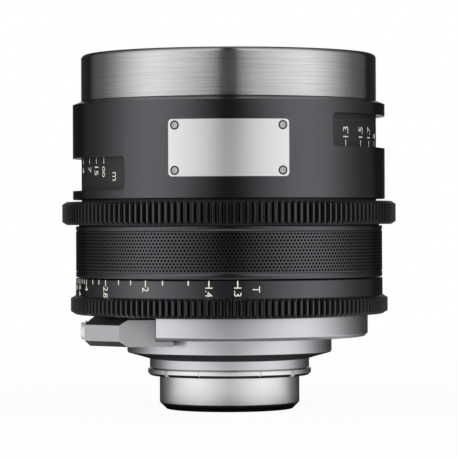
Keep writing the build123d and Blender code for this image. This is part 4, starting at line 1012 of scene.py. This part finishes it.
@dataclass
class RearEnd:
    """Cover, rear barrel, mount and tail ring."""

    neck_top: float = 6.45
    cone_top: float = 8.9
    margin: float = 0.3
    undercut_slope: float = -0.4
    port_face: float = -39.9
    port_sides: Point = (-31.2, -27.3)
    port_step: float = 0.15
    wall_slope: float = -0.85
    wall_reach: float = 0.6

    def tucked(self, shape: Shape) -> Shape:
        """Draws the edge of a ring in front of the data port back to the port's face and marks it."""
        left, right = self.port_sides
        for plane in (right - self.port_step, right):
            geometry = [*shape.verts, *shape.edges, *shape.faces]
            bmesh.ops.bisect_plane(shape, geom=geometry, plane_co=(plane * MM, 0, 0), plane_no=(1, 0, 0))
        right -= self.port_step / 2
        for vertex in shape.verts:
            if left * MM < vertex.co.x < right * MM and vertex.co.y < self.port_face * MM:
                vertex.co.y = self.port_face * MM
                for face in vertex.link_faces:
                    face.material_index = 1
                for edge in vertex.link_edges:
                    edge.smooth = False
        return shape

    def turned(self) -> Shape:
        """Rear barrel with its downward-facing undercut marked for painted shade."""
        shape = softened(copied("rear_barrel"), 0.2)
        shape.normal_update()
        for face in shape.faces:
            height = face.calc_center_median().z / MM
            low, high = self.neck_top - self.margin, self.cone_top + self.margin
            # Painted shade: downward-facing faces of the cone between neck and waist get the near-black finish.
            if face.normal.z < self.undercut_slope and low < height < high:
                face.material_index = 1
        return shape

    def opened(self) -> Shape:
        """Rear cover with the walls of its opening marked for painted shade."""
        shape = softened(copied("rear_cover"), 0.2)
        shape.normal_update()
        left, right = self.port_sides
        for face in shape.faces:
            centre = face.calc_center_median() / MM
            beside = left < centre.x < right + self.wall_reach and centre.y < 0
            # Painted shade: the walls of the opening beside the port get the near-black finish.
            if beside and face.normal.x < self.wall_slope:
                face.material_index = 1
                for edge in face.edges:
                    edge.smooth = False
        return shape

    def build(self) -> None:
        """Makes the rear pieces with broken edges."""
        piece("cover_body", self.opened(), SATIN_REAR, ("rear_cover",), (UNDERCUT_PAINTED_SHADE,))
        piece("rear_body", self.turned(), SATIN_REAR, ("rear_barrel",), (UNDERCUT_PAINTED_SHADE,))
        eased("mount_body", "bayonet_mount", TURNED_MOUNT, 0.14)
        eased("tail_body", "tail_guard", BLACK_TAIL, 0.15)
        dress(STEEL_SCREW, "mount_screws", "cover_screws", "barrel_screws")
        dress(SHIM_STEEL, "mount_shim")
        behind_port = {"board_body": ("sensor_board", BOARD_GREEN), "guide_body": ("main_barrel", GUIDE_METAL)}
        for name, (node, finish) in behind_port.items():
            piece(name, self.tucked(copied(node)), finish, (node,), (GREY_PORT,))
        dress(BLACK_INSIDE, "rear_cell", "rear_retainer")


@dataclass
class DataPort:
    """Grey housing at the left with its bright connector."""

    connector_end: float = -56.8
    centre: Point = (-10.8, 17.5)
    connector_radius: float = 3.25
    dome: float = 0.6
    facet_slopes: Point = (0.4, 0.95)

    def housing(self) -> Shape:
        """Housing with its sloping facets marked for painted shade."""
        shape = softened(copied("data_port_housing"), 0.16)
        shape.normal_update()
        flat, steep = self.facet_slopes
        for face in shape.faces:
            # Painted shade: facets that slope up or down get the near-black finish.
            if flat < abs(face.normal.z) < steep:
                face.material_index = 1
        return shape

    def connector(self) -> Shape:
        """Connector whose outer rim is rounded."""
        shape = copied("data_port_socket")
        middle = Vector((0.0, self.centre[0] * MM, self.centre[1] * MM))
        end, inside = (self.connector_end + 0.1) * MM, (self.connector_radius - 0.2) * MM
        rim = []
        for edge in shape.edges:
            arms = [vertex.co - middle for vertex in edge.verts]
            if all(arm.x < end and arm.yz.length > inside for arm in arms):
                rim.append(edge)
        bmesh.ops.bevel(
            shape, geom=rim, offset=self.dome * MM, offset_type="OFFSET", segments=6, profile=0.5,
            affect="EDGES", clamp_overlap=True, material=-1,
        )
        return shape

    def build(self) -> None:
        """Makes the housing, connector and contacts."""
        piece("port_body", self.housing(), GREY_PORT, ("data_port_housing",), (FACET_PAINTED_SHADE,))
        piece("port_connector", self.connector(), BRIGHT_SOCKET, ("data_port_socket",))
        dress(INSULATOR, "data_port_contacts")
        dress(BLACK_SCREW, "port_screws", "cell_screws")


@dataclass
class Optics:
    """Fixed elements of the front and rear groups."""

    front_half: float = 44.0
    front_rim: tuple[float, float] = (106.5, 108.9)
    front_radius: float = 140.0
    back_radius: float = 420.0
    rings: int = 24

    def dome(self, radius: float, rim: float, outwards: bool) -> list[Point]:
        """Points of a spherical face from the rim to the axis or back.

        Args:
            radius: Radius of the sphere.
            rim: Height of the face's edge.
            outwards: Whether the points run from the axis to the rim.

        Returns:
            Pairs of radius and height.
        """
        base = math.sqrt(radius**2 - self.front_half**2)
        steps = [self.front_half * step / self.rings for step in range(self.rings + 1)]
        points = [(x, rim + math.sqrt(radius**2 - x**2) - base) for x in steps]
        return points if outwards else points[::-1]

    def build(self) -> None:
        """Makes the large front element and dresses the others."""
        low, high = self.front_rim
        profile = self.dome(self.back_radius, low, True) + self.dome(self.front_radius, high, False)
        glass = spun(profile, 192, closed=False)
        piece("front_glass", glass, CLEAR_GLASS, ("front_element",), even=False)
        dress(CLEAR_GLASS, "rear_element")
        dress(DEEP_GLASS, "second_element", "rear_inner_element")


@dataclass(frozen=True)
class Lamp:
    """A soft box that faces the lens.

    Attributes:
        name: Its name.
        bearing: Degrees from the camera's side towards +X.
        distance: Metres from the axis.
        height: Metres above the mount's seat.
        size: Width and height in metres.
        radiance: Brightness of its face.
        aim: Height of the point that it faces.
    """

    name: str
    bearing: float
    distance: float
    height: float
    size: Point
    radiance: float
    aim: float = 0.05

    def hang(self) -> None:
        """Makes the lamp. Mirrors show the surroundings and not the lamp."""
        light = bpy.data.lights.new(self.name, "AREA")
        light.shape = "RECTANGLE"
        light.size, light.size_y = self.size
        light.energy = self.radiance * math.pi * self.size[0] * self.size[1]
        thing = bpy.data.objects.new(self.name, light)
        turn = math.radians(self.bearing - 90)
        thing.location = (self.distance * math.cos(turn), self.distance * math.sin(turn), self.height)
        way = Vector((0.0, 0.0, self.aim)) - thing.location
        thing.rotation_euler = way.to_track_quat("-Z", "Y").to_euler()
        thing.visible_glossy = False
        bpy.context.scene.collection.objects.link(thing)


@dataclass
class Studio:
    """Pale floor, soft lamps, surroundings and the camera.

    Attributes:
        floor_height: Height of the floor, in metres.
        floor_size: Half of the floor's width.
        floor_near: White of the floor close to the lens, as the camera sees it.
        fade: Distance over which the floor turns as white as the backdrop.
        shaded: Radius of the dark floor round the lens that polished parts see.
        table: Radius of the bright floor that they see, beyond which it is as bright as the tent.
        camera_distance: Metres from the optical axis to the camera.
        camera_height: Metres above the mount's seat.
        lens: Focal length in millimetres.
        sensor: Width of the picture, in millimetres.
        horizon_shift: Shift of the picture upwards, as a share of its width.
        roll: Turn of the picture, in degrees.
        opening: Brightness at the tent's opening by the bearing from the camera's side, in degrees.
        stretch: How much faster the opening closes with height.
        around: Brightness of the rest of the tent, in degrees.
        upwards: Their brightness by the height over the horizon, in degrees.
        slit: Bearings between which the tent starts beside the camera, in degrees.
        slit_grey: Brightness inside the slit, as a share.
        paper: Colour of the floor under the lamps.
        shadow: Colour of the floor close to the lens that mirrors show.
        behind: Bearings between which the floor gets as bright as the tent, as shares of half a turn.
        lamps: The soft boxes.
    """

    floor_height: float = -0.0130
    floor_size: float = 8.0
    floor_near: float = 0.95
    fade: float = 0.8
    shaded: float = 0.09
    table: float = 0.28
    camera_distance: float = 1.05
    camera_height: float = 0.0595
    lens: float = 213.3
    sensor: float = 36.0
    horizon_shift: float = -0.0186
    roll: float = -0.214
    opening: tuple[Point, ...] = (
        (0, 0.0), (11.5, 0.07), (20.5, 0.19), (29, 0.32), (38, 0.52), (48, 0.74), (57, 0.92), (66, 1.0),
    )
    stretch: float = 9.0
    around: tuple[Point, ...] = (
        (57, 1.0), (68, 0.93), (79, 0.70), (89, 0.48), (100, 0.26), (113, 0.13), (130, 0.08), (136, 0.010),
        (165, 0.03), (173, 0.38), (180, 0.60),
    )
    upwards: tuple[Point, ...] = (
        (-90, 0.05), (-30, 0.3), (-10, 0.8), (0, 1.0), (28, 1.0), (45, 0.5), (90, 0.08),
    )
    slit: Point = (6.3, 7.3)
    slit_grey: float = 0.04
    paper: Colour = (0.88, 0.88, 0.89)
    shadow: Colour = (0.02, 0.02, 0.02)
    behind: Point = (0.45, 0.6)
    lamps: tuple[Lamp, ...] = (
        Lamp("left front box", -40, 1.1, 0.35, (0.95, 0.9), 1.15),
        Lamp("right front box", 40, 1.1, 0.35, (0.95, 0.9), 1.15),
        Lamp("left side box", -98, 1.0, 0.3, (0.8, 0.8), 0.8),
        Lamp("right side box", 98, 1.0, 0.3, (0.8, 0.8), 0.8),
        Lamp("back box", 180, 1.1, 0.45, (1.2, 0.8), 0.5),
        Lamp("top box", 0, 0.25, 1.2, (1.0, 1.0), 1.3),
    )

    @staticmethod
    def over_bearing(recipe: Recipe, bearing: Flow, stops: Sequence[Point]) -> Flow:
        """Brightness by a bearing, from stops in degrees."""
        return recipe.ramp(bearing, [(angle / 180, grey) for angle, grey in stops])

    def sides(self, recipe: Recipe, bearing: Flow, closed: Flow) -> Flow:
        """Brightness of the tent.

        Args:
            recipe: The recipe to add to.
            bearing: Bearing from the camera's side as a share of half a turn.
            closed: The same for the tent's opening.

        Returns:
            The brightness.
        """
        opening = self.over_bearing(recipe, closed, self.opening)
        slit = self.over_bearing(recipe, bearing, list(zip(self.slit, (self.slit_grey, 1.0))))
        return opening * slit * self.over_bearing(recipe, bearing, self.around)

    def floor_surface(self, recipe: Recipe) -> Flow:
        """Adds the floor's nodes: white to the camera, paper to the lamps, dark near the lens to mirrors."""
        paper, shade = [
            recipe.node("BsdfDiffuse", inputs={"Color": (*colour, 1.0)})
            for colour in (self.paper, self.shadow)
        ]
        glow = recipe.node("Emission", inputs={"Color": (*WHITE, 1.0), "Strength": 1.0})
        glossy, bounced, seen = [
            recipe.node("LightPath", output=ray)
            for ray in ("Is Glossy Ray", "Is Diffuse Ray", "Is Camera Ray")
        ]
        x, y, _ = recipe.axes(recipe.place())
        away = (x * x + y * y) ** 0.5
        far = recipe.sum("MINIMUM", away * (1 / self.fade), 1.0)
        near = recipe.ramp(away, [(self.shaded / 2, 0.0), (self.shaded, 1.0)])
        tent = recipe.ramp(away, [(self.table, 0.0), (self.table + self.shaded, 1.0)])
        bearing = recipe.bearing(x, y)
        back = recipe.ramp(bearing, list(zip(self.behind, (0.0, 1.0))))
        bright = near * (1 - recipe.sum("MAXIMUM", tent, back) * (1 - self.sides(recipe, bearing, bearing)))
        mirrored = recipe.node("MixShader", inputs={0: bright, 1: shade, 2: glow})
        lit = recipe.node("MixShader", inputs={0: glossy + bounced, 1: paper, 2: mirrored})
        white = seen * recipe.spread(far, self.floor_near, 1.0)
        return recipe.node("MixShader", inputs={0: white, 1: lit, 2: glow})

    def floor(self) -> None:
        """A pale floor that keeps the lens's shadow."""
        shape = bmesh.new()
        bmesh.ops.create_grid(shape, x_segments=1, y_segments=1, size=self.floor_size)
        bmesh.ops.translate(shape, vec=(0.0, 0.0, self.floor_height), verts=shape.verts)
        mesh = bpy.data.meshes.new("floor")
        shape.to_mesh(mesh)
        shape.free()
        mesh.materials.append(shaded("pale floor", self.floor_surface))
        thing = bpy.data.objects.new("floor", mesh)
        bpy.context.scene.collection.objects.link(thing)

    def surroundings(self) -> None:
        """A white backdrop for the camera, and a bright tent that is open on the camera's side."""
        world = bpy.data.worlds.new("surroundings")
        world.use_nodes = True
        bpy.context.scene.world = world
        recipe = Recipe(world.node_tree)
        way = recipe.node("TexCoord", output="Generated")
        x, y, z = recipe.axes(way)
        bearing = recipe.bearing(x, y)
        rise = recipe.sum("ARCSINE", z, 0.0) * (1 / math.pi) + 0.5
        closed = bearing * (1 + abs(z) * self.stretch)
        level = recipe.ramp(rise, [(angle / 180 + 0.5, grey) for angle, grey in self.upwards])
        tent = self.sides(recipe, bearing, closed) * level
        camera = recipe.node("LightPath", output="Is Camera Ray")
        through = recipe.node("LightPath", output="Is Transmission Ray")
        white = recipe.sum("MINIMUM", camera + through, 1.0)
        strength = white * (1 - tent) + tent
        backdrop = recipe.node("Background", inputs={"Color": (*WHITE, 1.0), "Strength": strength})
        recipe.node("OutputWorld", inputs={"Surface": backdrop})

    def camera(self) -> None:
        """Camera level with the barrel, on the plate's side."""
        view = bpy.data.cameras.new("view")
        view.sensor_width = self.sensor
        view.lens = self.lens
        view.shift_y = self.horizon_shift
        thing = bpy.data.objects.new("view", view)
        thing.location = (0.0, -self.camera_distance, self.camera_height)
        level = Matrix.Rotation(TURN / 4, 4, "X")
        tilt = Matrix.Rotation(math.radians(self.roll), 4, "Z")
        thing.rotation_euler = (level @ tilt).to_euler()
        bpy.context.scene.collection.objects.link(thing)
        bpy.context.scene.camera = thing

    def build(self) -> None:
        """Sets the stage, the lamps and the camera."""
        self.floor()
        self.surroundings()
        for lamp in self.lamps:
            lamp.hang()
        self.camera()
        bpy.context.scene.view_settings.view_transform = "Standard"


def main() -> None:
    """Builds the lens in order, from the front to the rear, then the stage."""
    logging.basicConfig(level=logging.INFO, format="%(message)s")
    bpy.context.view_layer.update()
    for part in (FrontRing, BarrelShell, FocusRing, ApertureRing, RearEnd, DataPort, Optics, Studio):
        part().build()
        log.info("%s is done", part.__name__)


if __name__ == "__main__":
    main()
